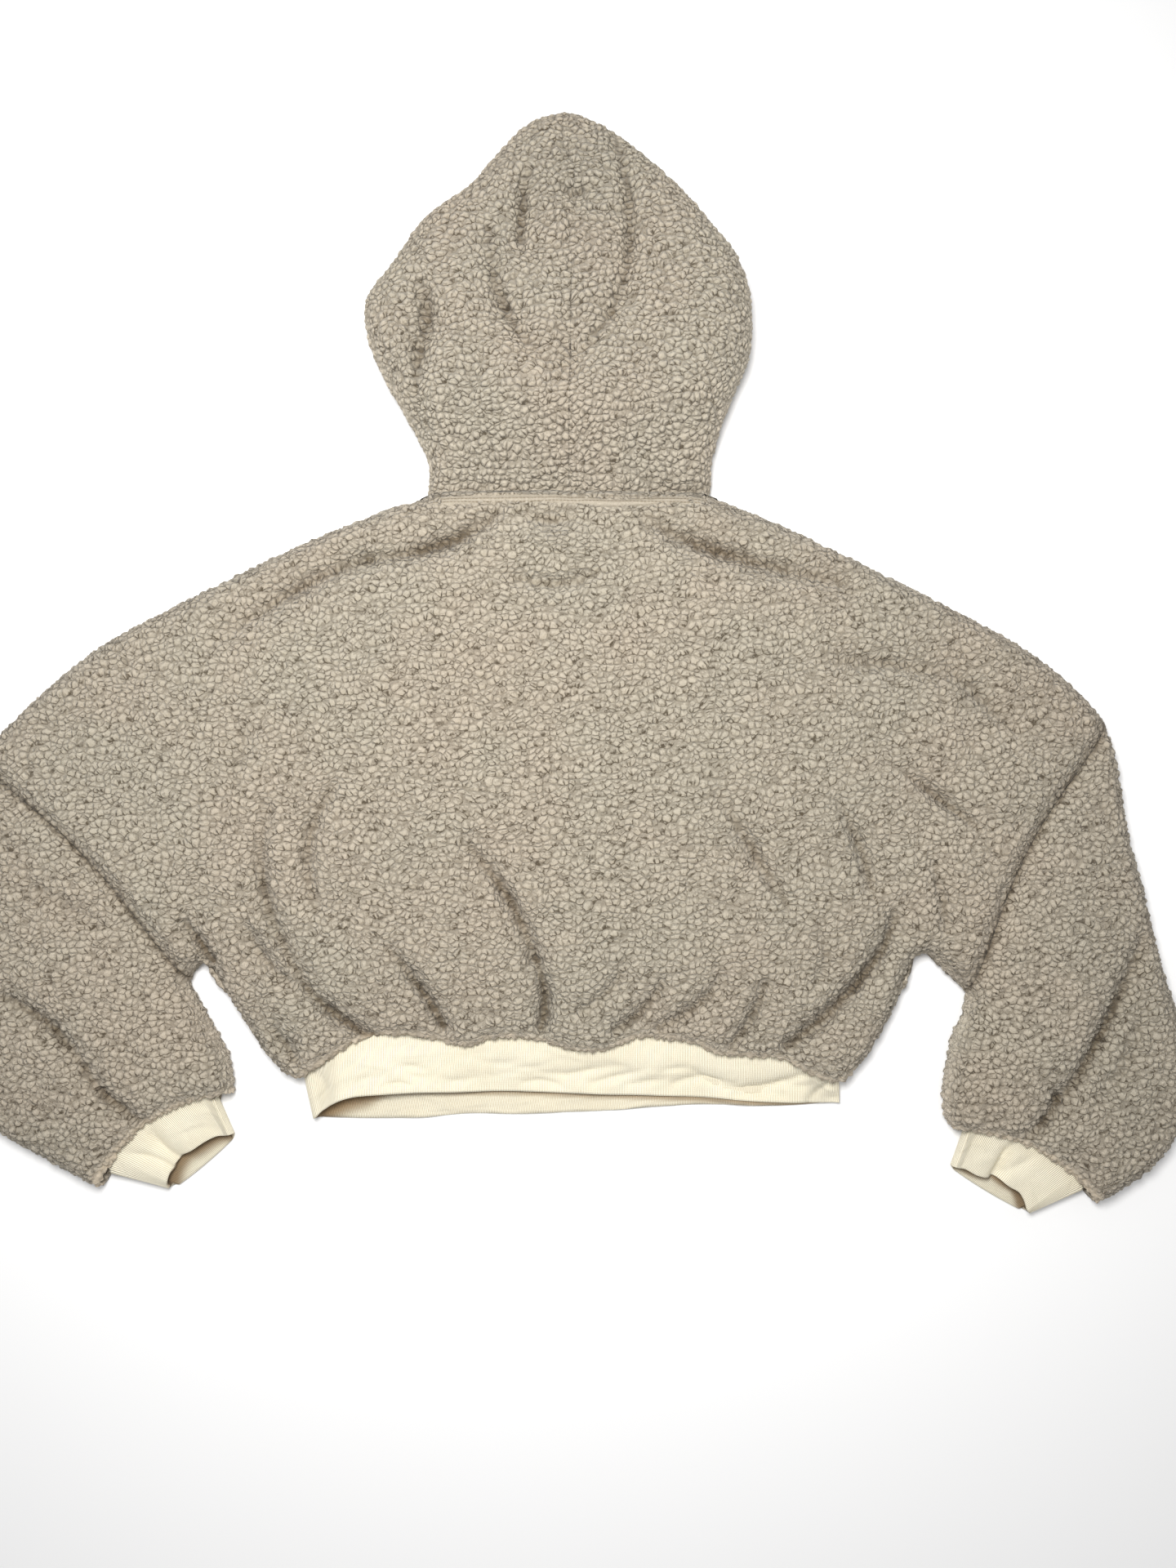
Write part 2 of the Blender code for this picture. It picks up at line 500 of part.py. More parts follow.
def build_sleeve(side, mat):
    """A tube through cross sections, flat below, its upper edge hanging over the cuff."""
    outer, inner = OUTER_LINE[side], INNER_LINE[side]
    ends = []
    for line in (outer, inner):
        total = length(line)
        stop = 1 - MOUTH_RADIUS / total
        main = np.concatenate([[0, 0.03, 0.07], np.linspace(0.12, stop, 10)])
        ends.append(along(line, np.concatenate([main, 1 - np.array(HEM_STEPS[-2::-1]) / total])))
    rows = []
    for i, (start, end) in enumerate(zip(*ends)):
        width = np.linalg.norm(end - start)
        f = spread(width, TOP_STEPS, 8) / width
        seam_bow = ARMHOLE_BOW[side] * (1 - ease(i / BOW_ROWS))
        bow = MOUTH_BOW[side] * ease((i - BOW_FIRST_ROW) / BOW_ROWS)
        top = bowed(start, end, bow, f, seam_bow)
        g = (spread(width, UNDER_STEPS, 4) / width)[::-1]
        under = bowed(start, end, 0, g)
        rows.append(np.vstack([lift(top, upper(top)), lift(under, lower(under))]))
    grid = np.array(rows)
    top_count = len(f)
    seam = square_to(bowed(outer[0], inner[0], 0, f, ARMHOLE_BOW[side]))
    seam = np.vstack([seam, np.repeat([across(outer[0], inner[0])], len(g), axis=0)])
    seam = seam * np.sign(seam[:, :1]) * (-1 if side == "L" else 1)
    grid[0] += seam * SEAM / 2
    cuts = [("top", ALL, seam), ("bottom", slice(0, top_count), UP),
            ("bottom", slice(top_count, None), across(outer[-1], inner[-1]))]
    wall("sleeve_left" if side == "L" else "sleeve_right", grid, FLEECE, mat, cuts, closed=True)


HOOD_FLAP = {"L": 32.0, "R": 20.0}          # how far each half turns in below, by the face
HOOD_EDGE, HOOD_STEPS = 24, [17, 11, 6, 2.2, 0.5, 0]    # steps over its rounded edge
THROAT, FACE_RUN = 0.22, 0.2                # share of the hood closed at the throat, and beyond
FLAP_SHARES = [0.03, 0.12, 0.28, 0.45, 0.56, 0.67, 0.78, 0.89, 1]


def build_hood(side, mat):
    """Half a hood: from the centre seam out over the top, round the side and in below it."""
    sign = -1 if side == "L" else 1
    v = np.concatenate([[0, 0.015, 0.045], np.linspace(0.1, 1, 15)])
    edge = along(HOOD_LINE[side], v)
    seam = along([NAPE, CROWN], v)
    grid = []
    for k, share in enumerate(v):
        start, end = seam[k], edge[k]
        width = np.linalg.norm(end - start)
        out = np.concatenate([np.linspace(0, 1 - HOOD_EDGE / width, 9), 1 - np.array(HOOD_STEPS) / width])
        top = start + (end - start) * out[:, None]
        open_share = ease((share - THROAT) / FACE_RUN)
        up = min(share / THROAT, 1)
        centre = np.array([CENTRE_X, FRONT_NECK_Y + (THROAT_TOP_Y - FRONT_NECK_Y) * up])
        near = end + (start - end) / width * HOOD_FLAP[side]
        rim = centre + (near - centre) * open_share
        f = np.array(NECKLINE_SHARES[1:])
        g = np.array(FLAP_SHARES)
        f = f + (g - f) * open_share
        bend = 1 - (1 - f) ** 2
        bend = bend + (f - bend) * open_share
        under = np.column_stack([end[0] + (rim[0] - end[0]) * f, end[1] + (rim[1] - end[1]) * bend])
        rise = ease(share / FACE_RUN)
        rim_z = rim_height(end[None])[0]
        low = lower(under, rim_z - SEAM * (1 - rise), UNDER_RADIUS + (HOOD_CURL - UNDER_RADIUS) * rise)
        grid.append(np.vstack([lift(top, upper(top)), lift(under, low)]))
    grid = np.array(grid)
    half = SEAM / 2
    top_line = across(CROWN, HOOD_TOP)
    top_line = top_line * np.sign(top_line[0]) * sign
    seam_line = across(NAPE, CROWN)
    seam_line = seam_line * np.sign(seam_line[0]) * sign
    neck_top = slice(0, 15)
    neck_under = slice(15, None)
    neck_seam = square_to(grid[0, 14:])[1:] * -sign
    shifted(grid, "top", neck_top, (0, 1, 0), half)
    shifted(grid, "top", neck_under, neck_seam, half)
    shifted(grid, "left", ALL, seam_line, half)
    shifted(grid, "bottom", slice(1, None), top_line, half)
    grid[v < THROAT + 0.001, -1, 0] += sign * half
    cuts = [("top", neck_top, (0, 1, 0)), ("top", neck_under, neck_seam),
            ("left", ALL, seam_line), ("bottom", ALL, top_line)]
    highest = np.full(grid.shape[:2], np.inf)
    highest[:4, neck_under.start - 1:] = SIDE_RIM - half
    wall("hood_left" if side == "L" else "hood_right", grid, FLEECE, mat, cuts, between=(0, highest))


def tube_loop(across_top, across_low, z_top, z_low):
    return np.vstack([lift(across_top, z_top), lift(across_low[::-1][1:-1], z_low[::-1][1:-1])])


def build_band(mat):
    """The waistband: a flattened ring whose upper layer runs on under the fleece."""
    f = np.concatenate([[0, 0.004, 0.012, 0.025], np.linspace(0.05, 0.95, 24), [0.975, 0.988, 0.996, 1]])
    seam_low = np.column_stack([BAND_LEFT + (BAND_RIGHT - BAND_LEFT) * f,
                                np.full(len(f), FRONT_HEM_Y - SEAM)])
    inset = np.minimum(f, 1 - f) * (BAND_RIGHT - BAND_LEFT)
    tuck = ease((inset - BAND_TUCK_START) / BAND_TUCK_RUN)
    seam_top = seam_low + np.column_stack([0 * f, (BAND_SEAM_Y - FRONT_HEM_Y + SEAM) * tuck])
    mouth_low = along(smooth(BAND_LOWER), f)
    mouth_top = along(smooth(BAND_UPPER), f)
    side = BAND_HEIGHT / 2
    rounded = roll(inset / 8, 2)
    rows = []
    for s in (0, 0.35, 0.7, 1):
        top = seam_top + (mouth_top - seam_top) * s
        low = seam_low + (mouth_low - seam_low) * s
        wave = (0.7 * np.sin(f * 21 + 2 * s) + 0.5 * np.sin(f * 47 + 1)) * s
        arch = BAND_ARCH * np.exp(-((f - 0.13) / 0.08) ** 2) * s - BAND_DROP * ease((f - 0.6) / 0.4) * s
        crest = BAND_TUCK_HEIGHT + (BAND_HEIGHT - BAND_TUCK_HEIGHT) * ease(s / 0.6) + wave + arch
        z_top = side + (crest - side) * rounded
        z_low = side - side * rounded
        rows.append(tube_loop(top, low, z_top, z_low))
    wall("waistband", np.array(rows), RIB, mat, [("top", ALL, (0, 1, 0))], closed=True)


def build_cuff(name, spec, side, mat):
    """A cuff: a short flattened ring with a pleat in its upper layer."""
    f = np.concatenate([[0, 0.015, 0.05, 0.1], np.linspace(0.17, 0.83, 8), [0.9, 0.95, 0.985, 1]])
    seam_a, seam_b = (np.array(p, float) for p in spec["seam"])
    mouth_a, mouth_b = (np.array(p, float) for p in spec["mouth"])
    down = across(seam_a, seam_b)[:2]
    down = down * -np.sign(down[1])
    seam_low = seam_a + (seam_b - seam_a) * f[:, None] + down * SEAM
    width = np.linalg.norm(seam_b - seam_a)
    inset = np.minimum(f, 1 - f) * width
    tuck = ease((inset - CUFF_TUCK_START) / CUFF_TUCK_RUN)
    bow = MOUTH_BOW[side] * 4 * f * (1 - f)
    seam_top = seam_low - down * ((CUFF_TUCK + MOUTH_RADIUS * 0.7 + bow) * tuck)[:, None]
    mouth_low = mouth_a + (mouth_b - mouth_a) * f[:, None] + down * (CUFF_SAG * 4 * f * (1 - f))[:, None]
    mouth_top = mouth_low - down * (spec["back"] * np.sin(np.pi * f) ** 0.8)[:, None]
    half = CUFF_HEIGHT / 2
    rounded = roll(inset / 7, 2)
    rows = []
    for s in (0, 0.4, 0.7, 1):
        top = seam_top + (mouth_top - seam_top) * s
        low = seam_low + (mouth_low - seam_low) * s
        open_end = ease((s - 0.3) / 0.6)
        pleat = -spec["depth"] * np.exp(-((f - spec["pleat"]) / spec["width"]) ** 2) * open_end
        crest = CUFF_CREST * np.exp(-((f - spec["pleat"] - 0.24) / 0.13) ** 2) * open_end
        z_top = half + (half + pleat + crest) * rounded
        z_low = half - half * rounded
        rows.append(tube_loop(top, low, z_top, z_low))
    wall(name, np.array(rows), RIB, mat, [("top", ALL, (*down, 0))], closed=True)


def clear_scene():
    for obj in list(bpy.data.objects):
        bpy.data.objects.remove(obj, do_unlink=True)


def set_on_origin():
    """Moves the garment so that the middle of its footprint is the origin."""
    meshes = [o.data for o in bpy.data.objects if o.type == "MESH"]
    points = np.array([v.co for m in meshes for v in m.vertices])
    low, high = points.min(0), points.max(0)
    move = ((low[0] + high[0]) / 2, (low[1] + high[1]) / 2, low[2])
    for m in meshes:
        for v in m.vertices:
            v.co.x -= move[0]
            v.co.y -= move[1]
            v.co.z -= move[2]


def main():
    clear_scene()
    fleece = material("sherpa_fleece", FLEECE_COLOUR, 0.95)
    rib = material("rib_knit", RIB_COLOUR, 0.85)
    build_back(fleece)
    build_front(fleece)
    for side in "LR":
        build_sleeve(side, fleece)
        build_hood(side, fleece)
    build_band(rib)
    build_cuff("cuff_left", CUFF_L, "L", rib)
    build_cuff("cuff_right", CUFF_R, "R", rib)
    set_on_origin()


main()
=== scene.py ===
"""Hooded pullover of sherpa fleece with a rib waistband and rib cuffs, laid back up on a table.

The whole upper surface is one height field made from the garment's outline, its folds and its
seams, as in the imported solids, with finer steps. The curled pile, the ribs and the stitches are
added to it here. Tables are in millimetres: X to the wearer's right, Y from hem to hood, Z up.
"""

import math

import bpy
import numpy as np
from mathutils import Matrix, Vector


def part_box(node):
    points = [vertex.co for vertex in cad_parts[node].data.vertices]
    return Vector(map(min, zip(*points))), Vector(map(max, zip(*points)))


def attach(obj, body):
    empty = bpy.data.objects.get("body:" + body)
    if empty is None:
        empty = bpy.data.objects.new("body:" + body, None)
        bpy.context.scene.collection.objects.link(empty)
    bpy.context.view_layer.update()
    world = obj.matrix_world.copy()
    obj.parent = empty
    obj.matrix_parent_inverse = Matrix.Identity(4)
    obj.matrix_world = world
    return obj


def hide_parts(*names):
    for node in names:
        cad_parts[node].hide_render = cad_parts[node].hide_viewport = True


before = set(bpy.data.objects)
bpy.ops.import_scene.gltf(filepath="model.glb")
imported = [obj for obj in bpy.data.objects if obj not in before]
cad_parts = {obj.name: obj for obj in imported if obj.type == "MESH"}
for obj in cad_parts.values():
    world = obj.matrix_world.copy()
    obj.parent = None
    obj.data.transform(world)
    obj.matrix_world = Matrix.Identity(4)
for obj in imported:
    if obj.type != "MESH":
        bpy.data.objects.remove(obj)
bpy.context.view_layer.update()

MM = 0.001
SEAM = 0.3
WALL = 4.6  # fleece from its backing to the tips of the pile
RIB = 2.5
TAPE = 1.2

SIDE_RIM = 8.0
UNDER_RADIUS = 7.7
SIDE_RADIUS = 15.0
MOUTH_RADIUS = 12.0
HEM_RIM = 16.0
CUFF_RIM = 15.0
HOOD_RIM = 22.0
HOOD_RADIUS = 30.0
HOOD_CURL = 18.0
BODY_LOFT = 27.0
BODY_SWELL = 7.0
SWELL_REACH = 50.0
HOOD_RISE = 25.0
HOOD_RISE_START, HOOD_RISE_RUN = -2.0, 75.0
HOOD_RIM_START, HOOD_RIM_RUN = 4.0, 60.0
RIB_RIM_RUN = 30.0
SIDE_RIM_RUN = 9.0
SIDE_RISE, MOUTH_RISE = BODY_LOFT - SIDE_RIM, BODY_LOFT - CUFF_RIM  # from the rims to the loft
SPAN_STEPS = 8  # steps of a smooth outline from one of its points to the next

CENTRE_X = 9.0
NECK_Y = 119.5
FRONT_NECK_Y = 55.0
THROAT_TOP_Y = 102.0
FRONT_HEM_Y = -292.0
TIP_L, TIP_R = (-418, -67), (397, -43)
UNDERARM_L, UNDERARM_R = (-265, -229), (296, -238)
NECK_L, NECK_R = (-94, NECK_Y), (112, NECK_Y)
NAPE, CROWN, HOOD_TOP = (CENTRE_X, NECK_Y), (12, 318), (6, 388)

SHOULDER_L = [TIP_L, (-378, -28), (-331, 11), (-264, 47), (-190, 83), (-135, 106), NECK_L]
SHOULDER_R = [NECK_R, (161, 100), (222, 71), (270, 47), (337, 11), (376, -20), TIP_R]
SIDE_L = [UNDERARM_L, (-259, -221), (-252, -219), (-246, -226), (-238, -241), (-225, -261),
          (-213, -280), (-204, -291), (-195, -299)]
HEM = [(-184, -301), (-172, -294), (-158, -284), (-143, -275), (-123, -270), (-94, -272),
       (-66, -278), (-44, -272), (-12, -274), (12, -281), (36, -281), (60, -272), (98, -276),
       (118, -284), (157, -287), (178, -296), (194, -303), (206, -303)]
SIDE_R = [(215, -297), (228, -281), (240, -260), (248, -242), (252, -229), (258, -216),
          (267, -212), (276, -220), (286, -229), UNDERARM_R]
HOOD_L = [NECK_L, (-93, 143), (-106, 170), (-123, 200), (-135, 230), (-135, 256), (-118, 279),
          (-102, 303), (-88, 318), (-63, 335), (-46, 354), (-22, 378), HOOD_TOP]
HOOD_R = [NECK_R, (113, 143), (119, 168), (129, 193), (138, 215), (140, 240), (138, 264), (129, 287),
          (115, 305), (98, 325), (74, 348), (47, 370), (25, 382), HOOD_TOP]
SLEEVE_L = [(TIP_L, UNDERARM_L), ((-427, -95), (-266, -234)), ((-434, -140), (-261, -243)),
            ((-439, -182), (-254, -255)), ((-444, -225), (-247, -267)), ((-447, -265), (-241, -278)),
            ((-445, -300), (-237, -289)), ((-425, -326), (-235, -298)), ((-383, -352), (-234, -306)),
            ((-330, -381), (-235, -313))]
SLEEVE_R = [(TIP_R, UNDERARM_R), ((405, -71), (297, -243)), ((413, -121), (294, -257)),
            ((425, -166), (288, -268)), ((435, -207), (285, -280)), ((449, -255), (282, -296)),
            ((458, -296), (280, -310)), ((453, -334), (280, -322)), ((428, -368), (282, -332)),
            ((390, -392), (287, -339))]
ARMHOLE_BOW = {"L": 9.0, "R": 11.0}  # how far the seam of a sleeve draws back above
MOUTH_BOW = {"L": 17.0, "R": 14.0}

# Folds: start, middle and end of each, its depth at those three (down is positive), its width.
FOLDS = [
    ((-43, 104), (-81, 83), (-134, 72), 4, 10, 4, 11),  # below the left shoulder
    ((-134, 72), (-180, 53), (-246, 11), 4, 7, 2, 11),
    ((63, 101), (115, 78), (205, 55), 3, 9, 4, 12),  # below the right shoulder
    ((-21, 101), (-3, 99), (14, 101), 3, 5, 3, 7),  # below the neck
    ((-15, 85), (2, 85), (18, 85), -2, -5, -2, 12),
    ((-34, 60), (2, 54), (29, 63), 3, 6, 3, 8),
    ((185, 1), (235, -3), (283, -9), 2, 6, 2, 12),  # across the right upper arm
    ((283, -9), (301, -25), (324, -48), 2, 5, 2, 14),
    ((250, -82), (273, -99), (301, -121), 3, 7, 3, 6),
    ((269, -146), (275, -170), (279, -193), 2, 5, 3, 7),
    ((115, -93), (141, -138), (165, -174), 2, 6, 3, 10),  # down the right of the back
    ((190, -199), (192, -216), (185, -230), 2, 4, 2, 8),
    ((202, -103), (215, -129), (224, -161), 3, 6, 5, 9),
    ((242, -182), (221, -225), (166, -276), 5, 10, 7, 9),
    ((-66, -129), (-36, -167), (-15, -213), 3, 8, 5, 9),  # down the middle
    ((-15, -213), (-8, -239), (-11, -263), 4, 9, 8, 8),
    ((-119, -206), (-99, -232), (-81, -262), 3, 8, 8, 8),
    ((-157, -90), (-176, -132), (-171, -175), 3, 6, 3, 10),  # down the left of the back
    ((-205, -106), (-208, -164), (-179, -233), 3, 6, 4, 10),
    ((-179, -233), (-158, -254), (-131, -271), 4, 10, 7, 8),
    ((-215, -186), (-198, -209), (-182, -232), -3, -4, -2, 6),
    ((-220, -190), (-208, -213), (-190, -230), 2, 5, 3, 7),
    ((-203, -263), (-194, -274), (-187, -285), 3, 6, 5, 8),
    ((-221, -53), (-226, -71), (-228, -91), 2, 3, 1, 13),
    ((-264, -189), (-256, -201), (-247, -216), 4, 9, 8, 7),  # at the left underarm
    ((52, -204), (43, -230), (18, -251), 1, 4, 4, 8),  # gathers at the hem
    ((76, -230), (63, -249), (43, -265), 3, 6, 6, 8),
    ((117, -227), (101, -247), (74, -263), 3, 6, 5, 8),
    ((149, -231), (140, -254), (127, -275), 4, 6, 5, 7),
    ((-394, -240), (-359, -262), (-336, -291), 4, 8, 3, 10),  # left sleeve
    ((-336, -291), (-319, -314), (-294, -332), 3, 8, 4, 9),
    ((-374, -161), (-351, -174), (-327, -188), 2, 3, 2, 15),
    ((419, -199), (388, -271), (359, -314), 4, 9, 5, 11),  # right sleeve
    ((359, -314), (349, -330), (336, -340), 5, 8, 3, 9),
    ((417, -245), (408, -280), (388, -311), 2, 4, 2, 18),
    ((-45, 294), (-36, 243), (-7, 206), 4, 8, 3, 11),  # hood, left of its seam
    ((-20, 336), (-23, 307), (-24, 285), 4, 10, 5, 8),
    ((-59, 212), (-58, 195), (-61, 177), 2, 3, 2, 8),
    ((43, 358), (52, 291), (39, 238), 5, 8, 4, 9),  # hood, right of its seam
    ((39, 238), (27, 222), (11, 207), 4, 5, 2, 12),
    ((31, 117), (68, 119), (103, 124), 1, 2, 3, 9),
    ((4, 325), (13, 321), (26, 325), 3, 7, 3, 8),  # hood, in the middle
    ((6, 232), (6, 215), (5, 189), 2, 4, 2, 14),
    ((-93, 258), (-89, 234), (-95, 206), 4, 10, 4, 12),  # hood, the left ear
    ((-95, 212), (-97, 189), (-100, 164), 3, 4, 3, 8),
    ((-113, 245), (-103, 230), (-100, 215), 2, 3, 2, 14),
]
# Crumples of the waistband's upper layer, in the same way.
BAND_FOLDS = [
    ((-126, -308), (-116, -305), (-106, -307), 0.5, 1.2, 0.4, 3),
    ((-116, -294), (-106, -293), (-94, -296), 0.4, 0.9, 0.3, 4),
    ((-108, -298), (-100, -301), (-89, -300), 0.3, 0.8, 0.3, 3),
    ((-83, -302), (-72, -304), (-59, -302), 0.3, 0.7, 0.3, 4),
    ((-56, -289), (-42, -291), (-29, -289), 0.3, 0.6, 0.3, 5),
    ((-24, -306), (-11, -305), (3, -309), 0.5, 1.1, 0.4, 3),
    ((-15, -297), (5, -300), (24, -297), 0.4, 0.9, 0.4, 4),
    ((11, -299), (26, -296), (42, -293), 0.3, 0.8, 0.3, 4),
    ((25, -307), (42, -302), (62, -297), 0.5, 1.2, 0.4, 4),
    ((50, -307), (64, -306), (78, -304), 0.5, 1.0, 0.4, 3),
    ((74, -299), (89, -295), (101, -297), 0.4, 0.8, 0.3, 4),
    ((85, -307), (101, -303), (118, -306), 0.6, 1.3, 0.6, 4),
    ((101, -298), (112, -304), (130, -307), 0.5, 1.1, 0.6, 3),
    ((110, -307), (142, -311), (182, -299), 0.6, 1.8, 1.2, 5),
    ((130, -316), (149, -314), (166, -316), 0.4, 0.9, 0.4, 3),
    ((203, -300), (192, -311), (184, -320), 0.9, 1.6, 0.6, 5),
    ((164, -306), (179, -309), (189, -304), 0.3, 0.9, 0.3, 4),
    ((-173, -299), (-167, -307), (-168, -320), 0.4, 1.0, 0.5, 5),
    ((-148, -309), (-139, -302), (-125, -300), 0.2, 0.6, 0.2, 5),
]
FOLD_BROAD, FOLD_CORE, FOLD_NARROW = 0.6, 0.6, 0.42  # a soft trough with a crease along it
UNDER_SHARE, UNDER_DEEPEST = 0.35, 2.6  # the folds of the underside, against those above
UNDER_FOLD_RUN = 25.0  # they fade towards the outline
STRIP_TOP, STRIP_LOW, STRIP_END = 1.5, 9.0, 26.0  # the flattened strip at the neck
STRIP_INSET, STRIP_STEP = 3.5, 3.2
STRIP_RISE = [(0, -3.5), (0.3, -0.4), (0.55, 0.3), (0.8, -0.2), (1, -2.6)]  # at shares of its depth
HANG, HANG_X, HANG_REACH, HANG_FADE = 4.5, 44.0, 30.0, 9.0  # the hood's pile hangs over it here
STITCHES = (6.2, 8.6)  # its two rows of stitches, from its upper edge
CREASE_DEPTH, CREASE_WIDTH = 8.5, 2.4  # the painted shade where the pile closes up over a fold
HOOD_PALER, HOOD_PALER_RUN, ARMHOLE_SHADE = 0.25, 30.0, 0.75  # the creases' shade on the hood and here
ARMHOLE_DEPTH, ARMHOLE_WIDTH = 6.0, 6.0
NECK_DEPTH, NECK_WIDTH = 5.0, 7.0
HOOD_SEAM_DEPTH, HOOD_SEAM_WIDTH = 1.5, 5.0

BAND_LEFT, BAND_RIGHT = -186.0, 205.5
BAND_SEAM_Y = -258.0
BAND_LOWER = [(-177, -332), (-141, -333), (-101, -332.5), (-64, -329.5), (-29, -330), (-5, -329),
              (35, -327.5), (101, -323), (160, -324), (206, -321)]
BAND_UPPER = [(-177, -332), (-172, -327), (-165, -321.5), (-153, -316), (-138, -313.3), (-107, -312),
              (-60, -312.3), (-29, -312.3), (3, -313.6), (35, -314.6), (100, -317), (159, -321), (206, -321)]
BAND_HEIGHT = 14.8
BAND_TUCK_HEIGHT = 11.8
BAND_TUCK_START, BAND_TUCK_RUN = 6.0, 22.0
BAND_ROUND, CUFF_ROUND = 8.0, 7.0  # how far in their ends are rounded
# Along the band, its mouth stands up in an arch and then sags twice: height, place, run.
BAND_ARCH, BAND_SAGS = (3.0, 0.11, 0.07), [(7.5, 0.16, 0.2), (2.0, 0.5, 0.25)]
BAND_SHADE_AT, BAND_SHADE_RUN = 0.055, 0.075  # the deeper shade in that arch
# Ripples of both its layers: height, waves along the band, their start, and how they drift.
BAND_RIPPLES = [(0.7, 21, 0, 2), (0.5, 47, 1, 0)]
BAND_LOW_RIPPLES = [(0.9, 29, 1, 1.5), (0.6, 53, 0, 3)]
BAND_CRUMPLE = 2.5  # how much deeper the crumples are than their table
CUFF_HEIGHT = 14.0
CUFF_TUCK = 10.0
CUFF_TUCK_START, CUFF_TUCK_RUN = 0.8, 6.0
CUFF_TUCK_MORE = 0.7 * MOUTH_RADIUS
CUFF_CORNER, CUFF_CORNER_RUN = 7.0, 4.0  # how far its corners reach up into the sleeve's
CUFF_SAG = 1.5
CUFF_BROAD, CUFF_CORE = 0.85, 0.35  # as FOLD_BROAD and FOLD_CORE
CUFF_GAP = 0.6  # between its layers at the deepest fold
# A cuff: how far the shade reaches in, both ends of its seam and mouth, how far the upper layer's
# mouth lies back at shares of its width, and that layer's folds.
CUFF_L = dict(shade_reach=8.5, seam=((-322, -375.4), (-244, -319.5)), mouth=((-281, -385), (-234, -345)),
              back=[(0, 2.5), (0.05, 6.5), (0.19, 13), (0.36, 16.1), (0.53, 14.3), (0.71, 12.7),
                    (0.85, 10), (0.94, 6), (1, 2.5)],
              folds=[((-295, -336), (-287, -351), (-273, -360), 3, 6, 5, 6),
                     ((-314, -356), (-297, -358), (-280, -366), 1.5, 3, 3.5, 4),
                     ((-268, -341), (-257, -337), (-245, -339), 1, 1.8, 1, 5)])
CUFF_R = dict(shade_reach=4.5, seam=((381, -387.5), (294.5, -343)), mouth=((343, -402), (286.5, -368)),
              back=[(0, 1.5), (0.07, 3.5), (0.14, 8.3), (0.24, 12.3), (0.37, 12.5), (0.5, 13.6),
                    (0.55, 12.6), (0.6, 10), (0.75, 7), (0.89, 6), (1, 2)],
              folds=[((331, -345), (324.5, -359), (317, -373), 3, 6.5, 6.5, 5),
                     ((345, -358), (334, -365), (321, -371), 1, 2, 2, 5)])

# The pile.
CLUMP = 4.3  # size of a clump of curls
LOBE = 2.2  # size of the curls in it
CLUMP_STRETCH = 1.13  # how much wider than long it is
WARP = 1.9  # how far the clumps' borders wander
DRIFT = 4.0  # how far whole clumps do, so that they differ in size
CLUMP_HEIGHT = 2.3
LOBE_HEIGHT = 0.6
CLUMP_VARIES = 0.8
PILE_DROP = 2.4  # how far the cracks lie below the tips
PILE_LEAN = (-0.12, 0.33, 0.05)  # each clump leans on the next one towards the hem: painted shade on each clump's hem side and its cracks there, a touch of painted light on its other side
FRINGE = 7.0  # how far the paler, longer tips at an edge reach in; their tan is partly their own colour and partly painted light on the edge that turns down over the rib
EDGE_PILE = 0.25
RIM_SLOPE, RIM_RUN = 0.65, 0.5  # painted light: the pile is paler, with less painted shade in its cracks, where it faces sideways
TABLE_GAP = 0.2  # the pile stays this far above the table

# From the tables' origin to the part's: the waistband's left end and the top of the hood give it.
SHIFT = np.array([BAND_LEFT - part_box("waistband")[0][0] / MM,
                  HOOD_TOP[1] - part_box("hood_left")[1][1] / MM, 0.0])

UP, DOWN = (0, 0, 1), (0, 0, -1)
ALL = slice(None)

# The grids: how many points each way, and the distances between those near an edge.
SKIP = 6  # an inner grid has every sixth row and column of its outer one
BACK_ROWS, BACK_COLUMNS = 205, (133, 163, 67)  # columns at the neck, a shoulder and a side
FRONT_ROWS, FRONT_COLUMNS, FRONT_NECK, FRONT_SIDE = 139, 330, 47, 43
FRONT_TOP_EDGE, FRONT_HEM_EDGE = [0, 0.8, 2.2, 4.4], [0, 2.5]
PANEL_LENGTH = 330.0
HEM_ROWS = 24  # rows of the back panel whose inner side stays within the outline
SLEEVE_ROWS, SLEEVE_TOP, SLEEVE_UNDER = 217, 181, 97
UNDER_EDGE = [0.4, 1.6, 3.4, 6.0]
HOOD_ROWS, HOOD_COLUMNS, HOOD_UNDER = 271, 133, 61
BODY_STEP, SLEEVE_STEP, HOOD_STEP = 1.9, 1.5, 1.4
RIB_SKIP = 2  # as SKIP, for the rib pieces and the strip
RIB_EDGE = [0, 0.5, 1.5, 3.0, 5.0, 7.2]
RING_SHARES = np.linspace(0, 1, 33)
BAND_COUNT, CUFF_COUNT = 301, 101

BOW_RUN = 0.43  # share of a sleeve over which each of its ends draws back
CORNER_START, CORNER_RUN = 9.0, 6.0  # how far in its underside draws back at the cuff
HOOD_FLAP = {"L": 32.0, "R": 20.0}
HOOD_PILE = 0.72  # its clumps stand lower than the body's
THROAT, FACE_RUN = 0.22, 0.2  # shares of a hood: below the face opening, and where that widens
LOW_NECK = 0.15  # up to this share its inner side stays below the body's rim
BAND_DEEP, CUFF_DEEP = 50.0, 45.0  # lengths along the ribs


# Curves, distances and heights.

def unit(v):
    return v / np.maximum(np.linalg.norm(v, axis=-1, keepdims=True), 1e-9)


def smooth(points):
    """A Catmull-Rom curve through the points."""
    p = np.array(points, float)
    p = np.vstack([2 * p[:1] - p[1:2], p, 2 * p[-1:] - p[-2:-1]])
    t = np.linspace(0, 1, SPAN_STEPS, endpoint=False)[:, None]
    spans = [b + 0.5 * ((c - a) * t + (2 * a - 5 * b + 4 * c - d) * t ** 2 + (3 * b - a - 3 * c + d) * t ** 3)
             for a, b, c, d in zip(p, p[1:], p[2:], p[3:])]
    return np.vstack(spans + [p[-2:-1]])


